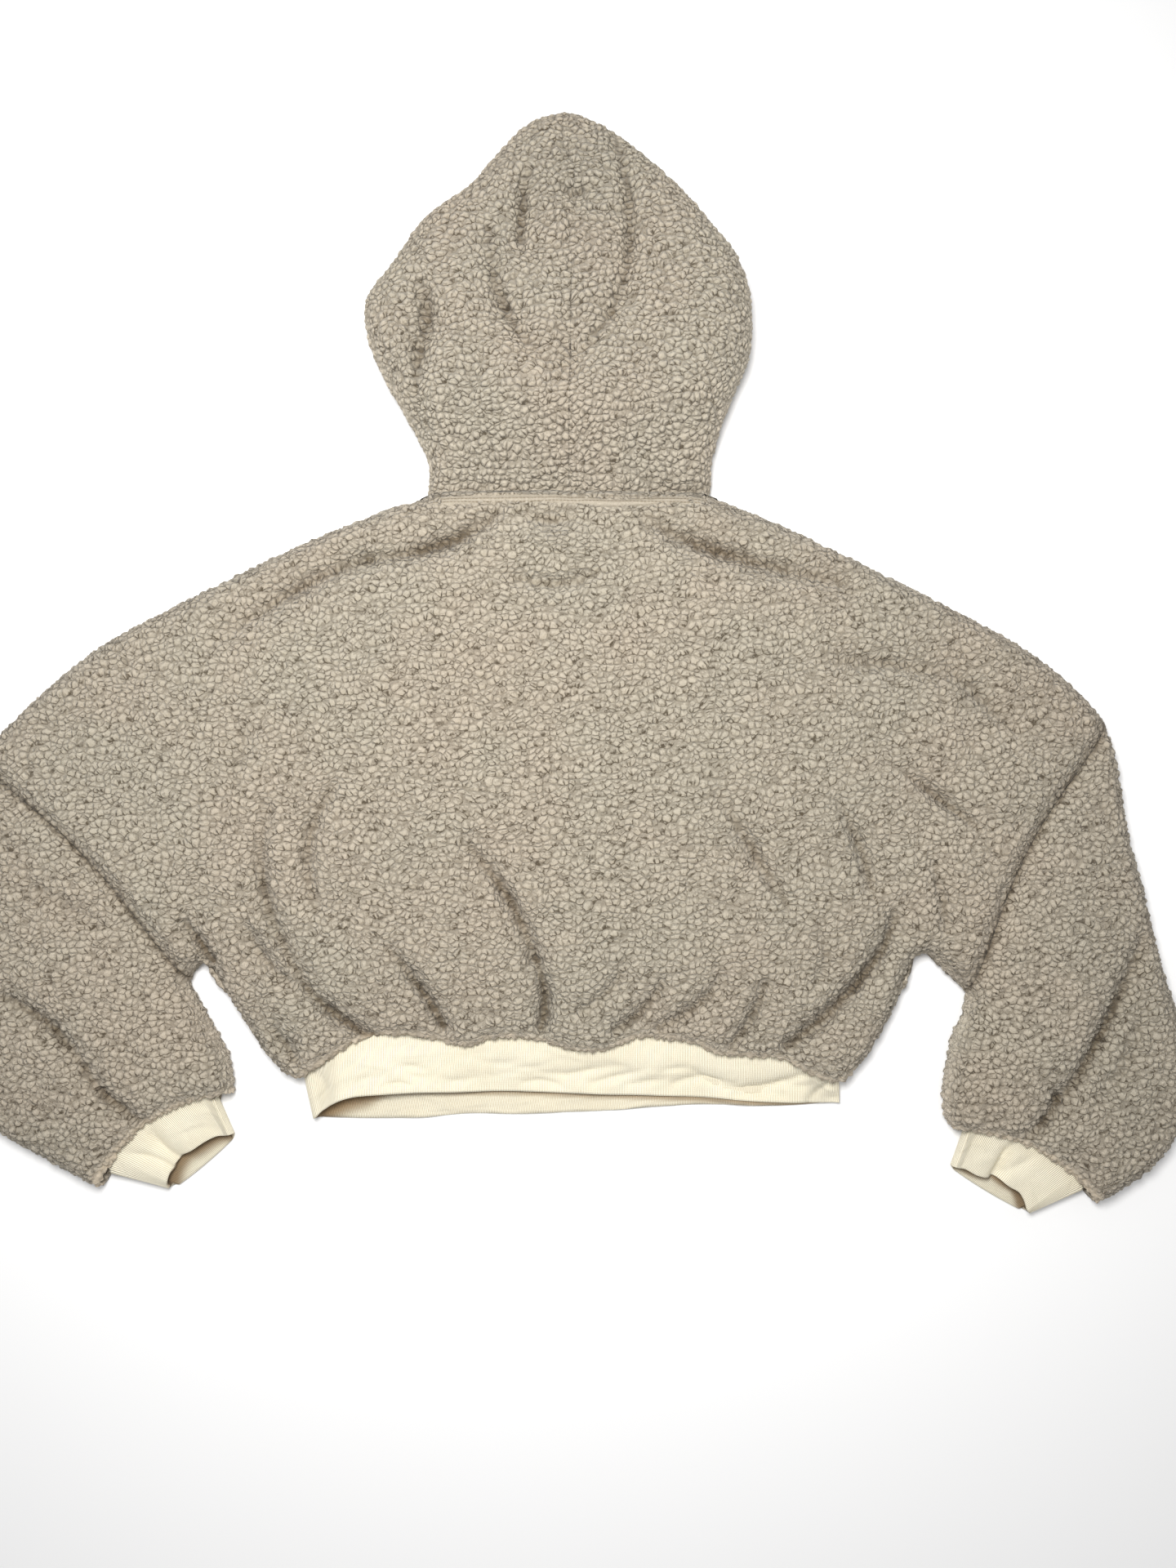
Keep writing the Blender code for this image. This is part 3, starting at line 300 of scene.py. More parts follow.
def travelled(curve):
    """How far along a curve each of its points lies."""
    return np.concatenate([[0], np.cumsum(np.linalg.norm(np.diff(curve, axis=0), axis=1))])


def along(curve, fractions):
    """Points of a curve at the given fractions of its length."""
    curve = np.array(curve, float)
    run = travelled(curve)
    return np.column_stack([np.interp(fractions, run / run[-1], c) for c in curve.T])


def even(curve, count):
    return along(curve, np.linspace(0, 1, count))


def distance(p, curve):
    """Distance in plan from each point to a curve."""
    curve = np.array(curve, float)
    flat = p.reshape(-1, 2)
    best = np.full(len(flat), np.inf)
    for a, b in zip(curve[:-1], curve[1:]):
        d = b - a
        x, y = flat[:, 0] - a[0], flat[:, 1] - a[1]
        t = np.clip((x * d[0] + y * d[1]) / (d @ d), 0, 1)
        np.minimum(best, (x - t * d[0]) ** 2 + (y - t * d[1]) ** 2, out=best)
    return np.sqrt(best).reshape(p.shape[:-1])


def nearest(p, curves):
    return np.min([distance(p, curve) for curve in curves], axis=0)


def ease(t):
    t = np.clip(t, 0, 1)
    return t * t * (3 - 2 * t)


def roll(t, power=2.3):
    """A rounded edge: 0 and upright at t = 0, 1 and level from t = 1."""
    return (1 - (1 - np.clip(t, 0, 1)) ** power) ** (1 / power)


def rim_steps(height, radius, step):
    """Distances in from an upright rounded edge at which its surface has gone even steps."""
    d = radius * np.linspace(0, 1, 4001) ** 3
    run = travelled(np.column_stack([d, height * roll(d / radius)]))
    count = max(2, round(run[-1] / step))
    return np.interp(np.linspace(0, run[-1], count + 1), run, d)


def spread(width, first, last, count):
    """`count` shares of a width: the given distances from either end, and even steps between."""
    middle = np.linspace(first[-1], width - last[-1], count - len(first) - len(last) + 2)[1:-1]
    return np.concatenate([first, middle, width - np.array(last)[::-1]]) / width


def across(start, end):
    """Level direction square to the line between two points."""
    d = np.subtract(end, start, dtype=float)
    return unit(np.array([-d[1], d[0], 0]))


def bowed(start, end, bow, fractions, seam_bow=0.0):
    """Points between two ends, drawn back in the middle, towards the shoulder. A seam's bow
    leaves both ends straight."""
    start, end = np.array(start, float), np.array(end, float)
    back = across(start, end)[:2]
    back *= np.sign(back[1])
    f = np.asarray(fractions)[:, None]
    rise = 4 * f * (1 - f)
    return start + (end - start) * f + back * (bow * rise + seam_bow * rise ** 2)


LOWER_EDGE = smooth(SIDE_L + HEM + SIDE_R)
CORNER_L = (len(SIDE_L) - 1) * SPAN_STEPS
CORNER_R = (len(SIDE_L) + len(HEM)) * SPAN_STEPS
SIDE_LINE_L, SIDE_LINE_R = LOWER_EDGE[:CORNER_L + 1], LOWER_EDGE[CORNER_R:]
HEM_LINE = LOWER_EDGE[CORNER_L:CORNER_R + 1]
SHOULDER_LINE_L, SHOULDER_LINE_R = smooth(SHOULDER_L), smooth(SHOULDER_R)
HOOD_LINE = {"L": smooth(HOOD_L), "R": smooth(HOOD_R)}
SLEEVES = {"L": SLEEVE_L, "R": SLEEVE_R}
OUTER_LINE = {s: smooth([outer for outer, inner in rows]) for s, rows in SLEEVES.items()}
INNER_LINE = {s: smooth([inner for outer, inner in rows]) for s, rows in SLEEVES.items()}
CURVE_SHARES = np.linspace(0, 1, 15)
ARMHOLE_LINE = {s: bowed(OUTER_LINE[s][0], INNER_LINE[s][0], 0, CURVE_SHARES, ARMHOLE_BOW[s]) for s in "LR"}
MOUTH_LINE = {s: bowed(OUTER_LINE[s][-1], INNER_LINE[s][-1], MOUTH_BOW[s], CURVE_SHARES) for s in "LR"}
NECK_LINE = [NECK_L, NECK_R]
OUTLINE = [SHOULDER_LINE_L, SHOULDER_LINE_R, SIDE_LINE_L, SIDE_LINE_R, *HOOD_LINE.values(),
           *OUTER_LINE.values(), *INNER_LINE.values()]
OPEN_EDGES = [HEM_LINE, *MOUTH_LINE.values()]  # here the fleece hangs over the rib
GROOVES = [*((line, ARMHOLE_DEPTH, ARMHOLE_WIDTH) for line in ARMHOLE_LINE.values()),
           (NECK_LINE, NECK_DEPTH, NECK_WIDTH), ([NAPE, CROWN, HOOD_TOP], HOOD_SEAM_DEPTH, HOOD_SEAM_WIDTH)]


def fold_height(p, broad=FOLD_BROAD, core=FOLD_CORE, folds=FOLDS):
    """What the folds add to the height at each point."""
    flat = p.reshape(-1, 2)
    total = np.zeros(len(flat))
    t = np.linspace(0, 1, 9)[:, None]
    for *places, d0, d1, d2, width in folds:
        start, middle, end = (np.array(place, float) for place in places)
        control = 2 * middle - 0.5 * (start + end)
        spine = (1 - t) ** 2 * start + 2 * t * (1 - t) * control + t ** 2 * end
        low, high = spine.min(0) - 3 * width, spine.max(0) + 3 * width
        near = np.flatnonzero(((flat > low) & (flat < high)).all(1))
        q = flat[near]
        depth = np.interp(t[:, 0], [0, 0.5, 1], [d0, d1, d2])
        weight = np.exp(-(np.linalg.norm(q[:, None, :] - spine, axis=-1) / (0.7 * width)) ** 2)
        share = (weight * depth).sum(-1) / np.maximum(weight.sum(-1), 1e-9)
        gap = distance(q, spine) / width
        total[near] -= share * (broad * np.exp(-gap ** 2) + core * np.exp(-(gap / FOLD_NARROW) ** 2))
    return total.reshape(p.shape[:-1])


def creases(p):
    """How deep in the creases or in an armhole seam each point lies, from 0 to 1: the painted shade there."""
    deep = np.clip(-fold_height(p, 0.0, 1.0) / CREASE_DEPTH, 0, 1) ** 1.5
    deep = deep * (1 - HOOD_PALER * ease((p[..., 1] - NECK_Y) / HOOD_PALER_RUN))
    seam = np.exp(-(nearest(p, ARMHOLE_LINE.values()) / CREASE_WIDTH) ** 2)
    return np.maximum(deep, ARMHOLE_SHADE * seam)


def hood_share(p):
    """0 on the body, 1 where the hood has its full rim."""
    return ease((p[..., 1] - NECK_Y - HOOD_RIM_START) / HOOD_RIM_RUN)


def rim_height(p, side):
    """Height of the outline: low at the sides, higher over the rib and round the hood."""
    rim = SIDE_RIM + (HOOD_RIM - SIDE_RIM) * hood_share(p)
    for line, top in zip(OPEN_EDGES, (HEM_RIM, CUFF_RIM, CUFF_RIM)):
        near = 1 - ease(distance(p, line) / RIB_RIM_RUN)
        rim = rim + (top - SIDE_RIM) * near * ease(side / SIDE_RIM_RUN)
    return rim


def upper(p):
    """Height of the garment's upper surface at each point of the plan, and how deep the narrow
    creases along the folds cut into it."""
    side, mouth = nearest(p, OUTLINE), nearest(p, OPEN_EDGES)
    radius = SIDE_RADIUS + (HOOD_RADIUS - SIDE_RADIUS) * hood_share(p)
    edge = roll(np.minimum(side / radius, mouth / MOUTH_RADIUS))
    top = BODY_LOFT + BODY_SWELL * (1 - np.exp(-np.minimum(side, mouth) / SWELL_REACH))
    top = top + HOOD_RISE * ease((p[..., 1] - NECK_Y - HOOD_RISE_START) / HOOD_RISE_RUN) + fold_height(p)
    for line, depth, width in GROOVES:
        top = top - depth * np.exp(-(distance(p, line) / width) ** 2)
    rim = rim_height(p, side)
    return rim + (top - rim) * edge, -fold_height(p, 0.0, FOLD_CORE) * edge


def curled(side, radius):
    """The underside's rounded rise towards the outline: 1 at it, 0 from a radius in."""
    inward = 1 - np.clip(side / radius, 0, 1)
    return 1 - np.sqrt(np.maximum(1 - inward ** 2, 0))


def lower(p):
    """Height of the underside: on the table, rounded up to the outline, with shallow folds."""
    side = nearest(p, OUTLINE)
    folds = np.clip(-UNDER_SHARE * fold_height(p), 0, UNDER_DEEPEST) * ease(side / UNDER_FOLD_RUN)
    return UNDER_RADIUS * curled(side, UNDER_RADIUS) + folds


# Grids of points and the walls made from them.

def lift(plan, z):
    return np.concatenate([plan, np.asarray(z)[..., None]], axis=-1)


def coons(top, bottom, left, right):
    """A grid of plan points spanned between four edges."""
    u, v = travelled(top), travelled(left)
    u, v = (u / u[-1])[None, :, None], (v / v[-1])[:, None, None]
    ruled = (1 - v) * top[None] + v * bottom[None] + (1 - u) * left[:, None] + u * right[:, None]
    corners = (1 - v) * ((1 - u) * top[0] + u * top[-1]) + v * ((1 - u) * bottom[0] + u * bottom[-1])
    return ruled - corners


def facing_out(grid, closed, facing=None):
    """Normals of a grid, each the mean of the faces round its point. They point as `facing`
    does or, without it, away from the middle."""
    g = np.concatenate([grid, grid[:, :1]], axis=1) if closed else grid
    face = unit(np.cross(g[1:, 1:] - g[:-1, :-1], g[1:, :-1] - g[:-1, 1:]))
    rows, cols = face.shape[:2]
    total = np.zeros(g.shape)
    for i, j in ((0, 0), (0, 1), (1, 0), (1, 1)):
        total[i:i + rows, j:j + cols] += face
    if closed:
        total[:, 0] += total[:, -1]
        total = total[:, :-1]
    n = unit(total)
    guide = grid - grid.mean((0, 1)) if facing is None else np.array(facing)
    return n * np.sign((n * guide).sum())


EDGES = {"top": np.s_[0, :], "bottom": np.s_[-1, :], "left": np.s_[:, 0], "right": np.s_[:, -1]}


def flush(n, cuts):
    """Takes each edge's own direction out of the normals there, so that rims lie flush."""
    n = n.copy()
    for edge, rows, direction in cuts:
        d = np.array(direction, float)
        part = n[EDGES[edge]][rows]
        n[EDGES[edge]][rows] = part - (part * d).sum(-1, keepdims=True) * d
    return unit(n)


def shifted(grid, edge, rows, direction, by):
    """Moves an edge of a grid back from its seam."""
    grid[EDGES[edge]][rows] += np.array(direction, float) * by


def square_to(line):
    """Level directions square to a line in plan, on its left."""
    d = unit(np.gradient(np.asarray(line)[:, :2], axis=0))
    return np.column_stack([-d[:, 1], d[:, 0], np.zeros(len(d))])


def placed(name, data, place=(0, 0, 0)):
    """A new object in the scene."""
    obj = bpy.data.objects.new(name, data)
    obj.location = place
    bpy.context.scene.collection.objects.link(obj)
    return obj


def make_mesh(name, verts, quads, tris, materials, inside_from):
    """A mesh from arrays, with each point's place stored for the materials. Faces between
    vertices from `inside_from` on get the second material."""
    mesh = bpy.data.meshes.new(name)
    mesh.vertices.add(len(verts))
    place = ((verts - SHIFT) * MM).astype(np.float32)
    mesh.vertices.foreach_set("co", place.ravel())
    loops = np.concatenate([quads.ravel(), tris.ravel()])
    mesh.loops.add(len(loops))
    mesh.loops.foreach_set("vertex_index", loops.astype(np.int32))
    sizes = np.repeat([4, 3], [len(quads), len(tris)])
    inside = np.concatenate([(quads >= inside_from).all(1), np.zeros(len(tris), bool)])
    mesh.polygons.add(len(sizes))
    mesh.polygons.foreach_set("loop_start", (np.cumsum(sizes) - sizes).astype(np.int32))
    mesh.polygons.foreach_set("material_index", inside.astype(np.int32))
    mesh.polygons.foreach_set("use_smooth", np.ones(len(sizes), bool))
    for m in materials:
        mesh.materials.append(m)
    mesh.update(calc_edges=True)
    mesh.validate()
    store(mesh, "rest", place / MM)
    return placed(name, mesh)


def grid_quads(rows, cols, closed, start=0, flip=False):
    i = np.arange(rows - 1)[:, None]
    j = np.arange(cols if closed else cols - 1)[None, :]
    k = (j + 1) % cols
    corners = [i * cols + j, i * cols + k, (i + 1) * cols + k, (i + 1) * cols + j]
    q = np.stack([np.broadcast_to(c, (rows - 1, j.size)) for c in corners], -1).reshape(-1, 4) + start
    return q[:, ::-1] if flip else q


def fan_rim(fine, coarse, skip, flip):
    """Triangles between a fine edge and a coarse one that has every `skip`-th of its points."""
    tris = []
    half = skip // 2
    for m, (here, after) in enumerate(zip(coarse[:-1], coarse[1:])):
        part = fine[m * skip:(m + 1) * skip + 1]
        tris += [(a, b, here) for a, b in zip(part[:half], part[1:half + 1])]
        tris.append((part[half], after, here))
        tris += [(a, b, after) for a, b in zip(part[half:-1], part[half + 1:])]
    return np.array(tris)[:, ::-1] if flip else np.array(tris)


def bedded(grid, cores):
    """The grid that a wall's inner side is made from: without the narrow creases, and below
    the deepest one nearby."""
    base = grid.copy()
    rows, cols = cores.shape
    depth = np.pad(np.maximum(cores, 0), SKIP, mode="edge")
    starts = range(0, 2 * SKIP + 1, 2)
    near = [depth[i:i + rows, j:j + cols] for i in starts for j in starts]
    base[:, :, 2] += np.maximum(cores, 0) - np.max(near, axis=0)
    return base


def wall(name, outer, base, inward, thickness, skip, materials, closed=False, between=(0, np.inf), turn=1):
    """A closed wall: the fine outer grid, and an inner grid with every `skip`-th row and column,
    whose heights stay between two. `turn` is -1 where the grid's order would face it inward."""
    rows, cols = outer.shape[:2]
    inner = (base - thickness * inward)[::skip, ::skip].copy()
    inner[..., 2] = np.clip(inner[..., 2], *between)
    r, c = inner.shape[:2]
    start = rows * cols
    fine = np.arange(start).reshape(rows, cols)
    coarse = start + np.arange(r * c).reshape(r, c)
    if closed:
        rims = [(np.append(fine[i], fine[i, 0]), np.append(coarse[i], coarse[i, 0]), i == 0) for i in (0, -1)]
    else:
        rims = [(fine[EDGES[edge]], coarse[EDGES[edge]], edge in ("top", "right")) for edge in EDGES]
    tris = np.vstack([fan_rim(a, b, skip, flip) for a, b, flip in rims])
    quads = np.vstack([grid_quads(rows, cols, closed), grid_quads(r, c, closed, start, True)])
    if turn < 0:
        quads, tris = quads[:, ::-1], tris[:, ::-1]
    verts = np.concatenate([outer.reshape(-1, 3), inner.reshape(-1, 3)])
    return make_mesh(name, verts, quads, tris, materials, start)


VECTORS = ("rest", "rib", "out")  # attributes with three numbers at each point


def store(mesh, name, *parts):
    """Stores an attribute of the points from arrays, one after the other. Points that they
    don't reach get 0."""
    kind, field, size = ("FLOAT_VECTOR", "vector", 3) if name in VECTORS else ("FLOAT", "value", 1)
    values = np.zeros(len(mesh.vertices) * size, np.float32)
    given = np.concatenate([np.ravel(part) for part in parts])
    values[:len(given)] = given
    mesh.attributes.new(name, kind, "POINT").data.foreach_set(field, values)


# Nodes. Each is made in the tree of the sockets that feed it.

def feed(socket, value):
    """Links a socket to another one, or gives it a value. A colour may be one number."""
    if isinstance(value, bpy.types.NodeSocket):
        socket.id_data.links.new(value, socket)
    elif socket.type == "RGBA":
        socket.default_value = (*value, 1) if isinstance(value, tuple) else (value, value, value, 1)
    else:
        socket.default_value = value


def node(kind, inputs, **settings):
    tree = next(value.id_data for value in inputs.values() if isinstance(value, bpy.types.NodeSocket))
    n = tree.nodes.new(kind)
    for key, value in settings.items():
        setattr(n, key, value)
    for key, value in inputs.items():
        feed(n.inputs[key], value)
    return n


def maths(operation, *values, clamp=False):
    return node("ShaderNodeMath", dict(enumerate(values)), operation=operation, use_clamp=clamp).outputs[0]


def times(a, b, clamp=False):
    return maths("MULTIPLY", a, b, clamp=clamp)


def less(a, b, clamp=False):
    return maths("SUBTRACT", a, b, clamp=clamp)


def weighted(*parts):
    """Sum of values, each times its share."""
    total = 0.0
    for value, share in parts:
        total = maths("MULTIPLY_ADD", value, share, total)
    return total


def vector(operation, *values, output=0):
    return node("ShaderNodeVectorMath", dict(enumerate(values)), operation=operation).outputs[output]


def ramp(value, low, high, to_low=0.0, to_high=1.0):
    return node("ShaderNodeMapRange", {"Value": value, "From Min": low, "From Max": high, "To Min": to_low,
                                       "To Max": to_high}, interpolation_type="SMOOTHSTEP").outputs[0]


def noise(at, scale, detail=3.0, rough=0.55, distort=0.0, output="Fac"):
    return node("ShaderNodeTexNoise", {"Vector": at, "Scale": scale, "Detail": detail, "Roughness": rough,
                                       "Distortion": distort}).outputs[output]


def cells(at, size, randomness=1.0, feature="F1"):
    return node("ShaderNodeTexVoronoi", {"Vector": at, "Scale": 1 / size, "Randomness": randomness},
                feature=feature).outputs


def clumps(rest):
    """The pile's clumps of curls: distance from the nearest crack in mm, the rounded height of
    each clump and of each curl from 0 to 1, a random value for each clump, and how far a point
    lies towards the hem in its clump."""
    place = rest
    for reach, *look in ((WARP, 0.13, 3.0, 0.65), (DRIFT, 0.04, 1.0, 0.5)):
        shift = vector("SUBTRACT", noise(rest, *look, output="Color"), (0.5, 0.5, 0.5))
        place = vector("ADD", place, vector("MULTIPLY", shift, (2 * reach,) * 3))
    place = vector("MULTIPLY", place, (1 / CLUMP_STRETCH, 1.0, 1.0))
    edge, clump = (cells(place, CLUMP, 0.85, feature) for feature in ("DISTANCE_TO_EDGE", "F1"))
    tone = node("ShaderNodeTexWhiteNoise", {"Vector": clump["Position"]}, noise_dimensions="3D")
    rounds = []
    for found in (clump, cells(place, LOBE, 0.9)):
        gap = times(found["Distance"], 1.25, clamp=True)
        rounds.append(less(1.0, times(gap, gap)))
    low = vector("DOT_PRODUCT", vector("SUBTRACT", clump["Position"], place), PILE_LEAN, output="Value")
    return times(edge["Distance"], CLUMP), *rounds, tone.outputs["Value"], low


def pile_tree():
    """Geometry nodes that raise the clumps of the pile along each point's own direction."""
    tree = bpy.data.node_groups.new("pile", "GeometryNodeTree")
    for way in ("INPUT", "OUTPUT"):
        tree.interface.new_socket("Geometry", in_out=way, socket_type="NodeSocketGeometry")
    source, result = tree.nodes.new("NodeGroupInput"), tree.nodes.new("NodeGroupOutput")

    def stored(name):
        n = tree.nodes.new("GeometryNodeInputNamedAttribute")
        n.data_type = "FLOAT_VECTOR" if name in VECTORS else "FLOAT"
        n.inputs["Name"].default_value = name
        return n.outputs["Attribute"]

    crack, dome, lobe, tone, _ = clumps(stored("rest"))
    height = weighted((times(dome, ramp(crack, -0.6, 1.0)), CLUMP_HEIGHT), (lobe, LOBE_HEIGHT),
                      (less(tone, 0.5), CLUMP_VARIES))
    height = times(times(less(height, PILE_DROP), stored("amount")), MM)
    offset = node("ShaderNodeVectorMath", {0: stored("out"), "Scale": height}, operation="SCALE").outputs[0]
    move = node("GeometryNodeSetPosition", {"Geometry": source.outputs[0], "Offset": offset})
    tree.links.new(move.outputs[0], result.inputs[0])
    return tree


PILE = pile_tree()


def raise_pile(obj, outer, n, amount, shown):
    """Raises the pile on the outer points of a wall, and keeps it above the table. The first
    `shown` columns show the creases."""
    mesh = obj.data
    if shown:
        plan = outer[:, :shown, :2]
        deep, fringe = np.zeros(outer.shape[:2]), np.zeros(outer.shape[:2])
        deep[:, :shown] = creases(plan)
        fringe[:, :shown] = 1 - ease(nearest(plan, OPEN_EDGES) / FRINGE)
        # For the fleece colour: painted shade in the creases, the paler tan edges over the rib, partly
        # painted light, and painted light on faces turned sideways.
        store(mesh, "crease_shade", deep)
        store(mesh, "fringe", fringe)
        store(mesh, "rim", ease((RIM_SLOPE - np.abs(n[..., 2])) / RIM_RUN))
        amount = amount * (1 + EDGE_PILE * fringe)
    store(mesh, "out", n)
    store(mesh, "amount", amount)
    modifier = obj.modifiers.new("pile", "NODES")
    modifier.node_group = PILE
    raised = obj.evaluated_get(bpy.context.evaluated_depsgraph_get()).data
    place = np.empty(len(mesh.vertices) * 3, np.float32)
    raised.vertices.foreach_get("co", place)
    heights = place[2:outer.size:3]
    heights[:] = np.maximum(heights, TABLE_GAP * MM)
    obj.modifiers.remove(modifier)
    mesh.vertices.foreach_set("co", place)
    for name in ("out", "amount"):
        mesh.attributes.remove(mesh.attributes[name])
    mesh.update()


# Materials.

FLEECE_WARM, FLEECE_GREY = (0.496, 0.431, 0.345), (0.480, 0.434, 0.351)
# the tan of the edges over the rib, partly their own colour and partly painted light
FLEECE_TAN = (0.53, 0.45, 0.345)


def shader(name, rough, specular=0.5):
    """A new material, its tree and its shader."""
    m = bpy.data.materials.new(name)
    m.use_nodes = True
    bsdf = m.node_tree.nodes["Principled BSDF"]
    bsdf.inputs["Roughness"].default_value = rough
    bsdf.inputs["Specular IOR Level"].default_value = specular
    return m, m.node_tree, bsdf


def read(tree, name):
    n = tree.nodes.new("ShaderNodeAttribute")
    n.attribute_name = name
    return n.outputs["Vector" if name in VECTORS else "Fac"]


def mix(share, a, b, mode="MIX"):
    return node("ShaderNodeMix", {"Factor": share, "A": a, "B": b}, data_type="RGBA",
                blend_type=mode).outputs["Result"]


def tinted(base, tint, share=1.0):
    """A colour multiplied by another one, in full or by a share."""
    return mix(share, base, tint, "MULTIPLY")


def bump(height, reach, strength=1.0, **more):
    return node("ShaderNodeBump", {"Height": height, "Distance": reach, "Strength": strength,
                                   **more}).outputs[0]


def dress(bsdf, base, normal):
    feed(bsdf.inputs["Base Color"], base)
    feed(bsdf.inputs["Normal"], normal)


def fleece_material():
    m, tree, bsdf = shader("sherpa_fleece_pile", 0.95, 0.15)
    bsdf.inputs["Sheen Weight"].default_value = 0.2
    bsdf.inputs["Sheen Roughness"].default_value = 0.6
    bsdf.inputs["Sheen Tint"].default_value = (1.0, 0.97, 0.92, 1)
    rest, fringe, rim, crease_shade = (read(tree, name) for name in ("rest", "fringe", "rim", "crease_shade"))
    crack, dome, lobe, tone, low = clumps(rest)
    curl, fibre = noise(rest, 0.9, 4.0, 0.6, 1.2), noise(rest, 2.4, 3.0, 0.7, 0.6)
    base = mix(ramp(noise(rest, 0.014, 2.0, 0.5), 0.3, 0.7), FLEECE_WARM, FLEECE_GREY)
    # Painted light: paler where the pile faces sideways; at the edges over the rib, a tan that is partly
    # painted light.
    base = mix(fringe, tinted(base, 1.18, rim), FLEECE_TAN)
    # Random tone of the clumps, curls and fibres; last, painted shade on each clump's hem side and a touch of
    # painted light on its other side.
    for share, start, end in ((tone, 0.95, 1.04), (ramp(curl, 0.3, 0.7), (0.91, 0.90, 0.88), 1.06),
                              (ramp(fibre, 0.3, 0.7), (0.91, 0.91, 0.90), 1.08),
                              (ramp(low, -0.25, 0.55), (1.01, 1.01, 1.015), (0.93, 0.92, 0.90))):
        base = tinted(base, mix(share, start, end))
    # Painted shade in the cracks between the clumps and in the hollows between the curls, deeper on each
    # clump's hem side and fainter at the paler edges and on sideways faces.
    raised = times(dome, lobe)
    strength = times(ramp(noise(rest, 0.2, 2.0), 0.36, 0.58, 0.55, 1.0), ramp(low, -0.3, 0.3, 0.4, 1.0))
    slit = times(ramp(crack, 0.14, 0.68, 1.0, 0.0), strength)
    shade = maths("MAXIMUM", slit, ramp(raised, 0.0, 0.45, 0.42, 0.0))
    pale = maths("MAXIMUM", times(fringe, 1.4), times(rim, 0.7))
    base = tinted(base, (0.18, 0.155, 0.12), times(shade, less(1.0, pale, clamp=True)))
    # Painted shade in the creases and along the armhole seams, lighter on the clumps' tops.
    crease_shade = times(crease_shade, less(1.35, times(raised, 0.8)), clamp=True)
    base = tinted(base, (0.40, 0.355, 0.295), crease_shade)
    height = weighted((ramp(crack, 0.0, 1.1), 0.7), (dome, 0.75), (lobe, 0.55), (curl, 1.0), (fibre, 0.25))
    dress(bsdf, base, bump(height, 0.001, ramp(fringe, 0.0, 0.8, 1.0, 0.4)))
    return m


def backing_material():
    m, tree, bsdf = shader("fleece_backing", 0.9, 0.2)
    rest = read(tree, "rest")
    base = mix(noise(rest, 0.05), (0.50, 0.44, 0.35), (0.58, 0.51, 0.42))
    dress(bsdf, base, bump(cells(rest, 1 / 1.1)["Distance"], 0.0003))
    return m


def wave(at, period):
    """Even waves from 0 to 1."""
    return maths("MULTIPLY_ADD", maths("SINE", times(at, 2 * math.pi / period)), 0.5, 0.5)


def rib_material():
    """Fine rib knit. The attribute gives place across the ribs and along them, in mm."""
    m, tree, bsdf = shader("rib_knit_cream", 0.85, 0.2)
    bsdf.inputs["Sheen Weight"].default_value = 0.15
    at, rest = read(tree, "rib"), read(tree, "rest")
    split = node("ShaderNodeSeparateXYZ", {"Vector": at}).outputs
    ridge = wave(maths("MULTIPLY_ADD", noise(at, 0.12, 2.0), 0.8, split[0]), 1.25)
    base = mix(ramp(noise(rest, 0.03), 0.3, 0.7), (0.96, 0.91, 0.735), (0.975, 0.935, 0.775))
    # Painted shade between the ribs.
    base = tinted(base, (0.70, 0.62, 0.51), ramp(ridge, 0.0, 0.45, 1.0, 0.0))
    # Painted shade inside the ring, deepest under the upper layer's edge.
    base = tinted(base, (0.33, 0.235, 0.15), read(tree, "inside"))
    base = tinted(base, mix(noise(rest, 1.6), 0.95, 1.04))
    slow = vector("MULTIPLY", at, (0.03, 0.075, 1.0))
    crumple = bump(noise(slow, 1.0, 1.0, 0.4, 0.5), 0.0035, 0.8)
    height = weighted((ridge, 1.0), (times(wave(split[1], 0.9), ridge), 0.35))
    dress(bsdf, base, bump(height, 0.00045, 0.9, Normal=crumple))
    return m


def strip_material():
    """Flattened pile with two faint rows of stitches."""
    m, tree, bsdf = shader("fleece_neck_strip", 0.95, 0.15)
    rest = read(tree, "rest")
    fuzz = noise(rest, 0.8, 4.0, 0.65, 0.8)
    base = mix(ramp(fuzz, 0.3, 0.7), (0.375, 0.33, 0.26), (0.47, 0.415, 0.335))
    dash = ramp(wave(node("ShaderNodeSeparateXYZ", {"Vector": rest}).outputs[0], 2.6), 0.2, 0.6)
    wander = maths("MULTIPLY_ADD", noise(rest, 0.06, 1.0), 1.2, read(tree, "strip"))
    marks = 0.0
    for row in STITCHES:
        gap = maths("ABSOLUTE", less(wander, row + 0.6))
        marks = maths("MAXIMUM", marks, ramp(gap, 0.15, 0.6, 1.0, 0.0))
    marks = times(marks, maths("MULTIPLY_ADD", dash, 0.4, 0.35))
    height = less(fuzz, times(marks, 0.5))
    dress(bsdf, tinted(base, (0.55, 0.50, 0.43), marks), bump(height, 0.0008))
    return m


# What a wall looks like outside and inside.
PILE_LOOK = [fleece_material()] * 2
FLEECE_LOOK = [PILE_LOOK[0], backing_material()]
STRIP_LOOK = [strip_material()] * 2
RIB_LOOK = [rib_material()] * 2


# The pieces.

SIDE_NAME = {"L": "left", "R": "right"}
TURN = {"L": 1, "R": -1}


def steps_to(count):
    """A number of points that leaves whole strides of SKIP, one more than a multiple of it."""
    count = count
    return SKIP * round((count - 1) / SKIP) + 1


def near_seams(grid, lines, reach=5.0, least=0.35):
    """How much pile there is at each point: less beside a seam."""
    return least + (1 - least) * ease(nearest(grid[..., :2], lines) / reach)


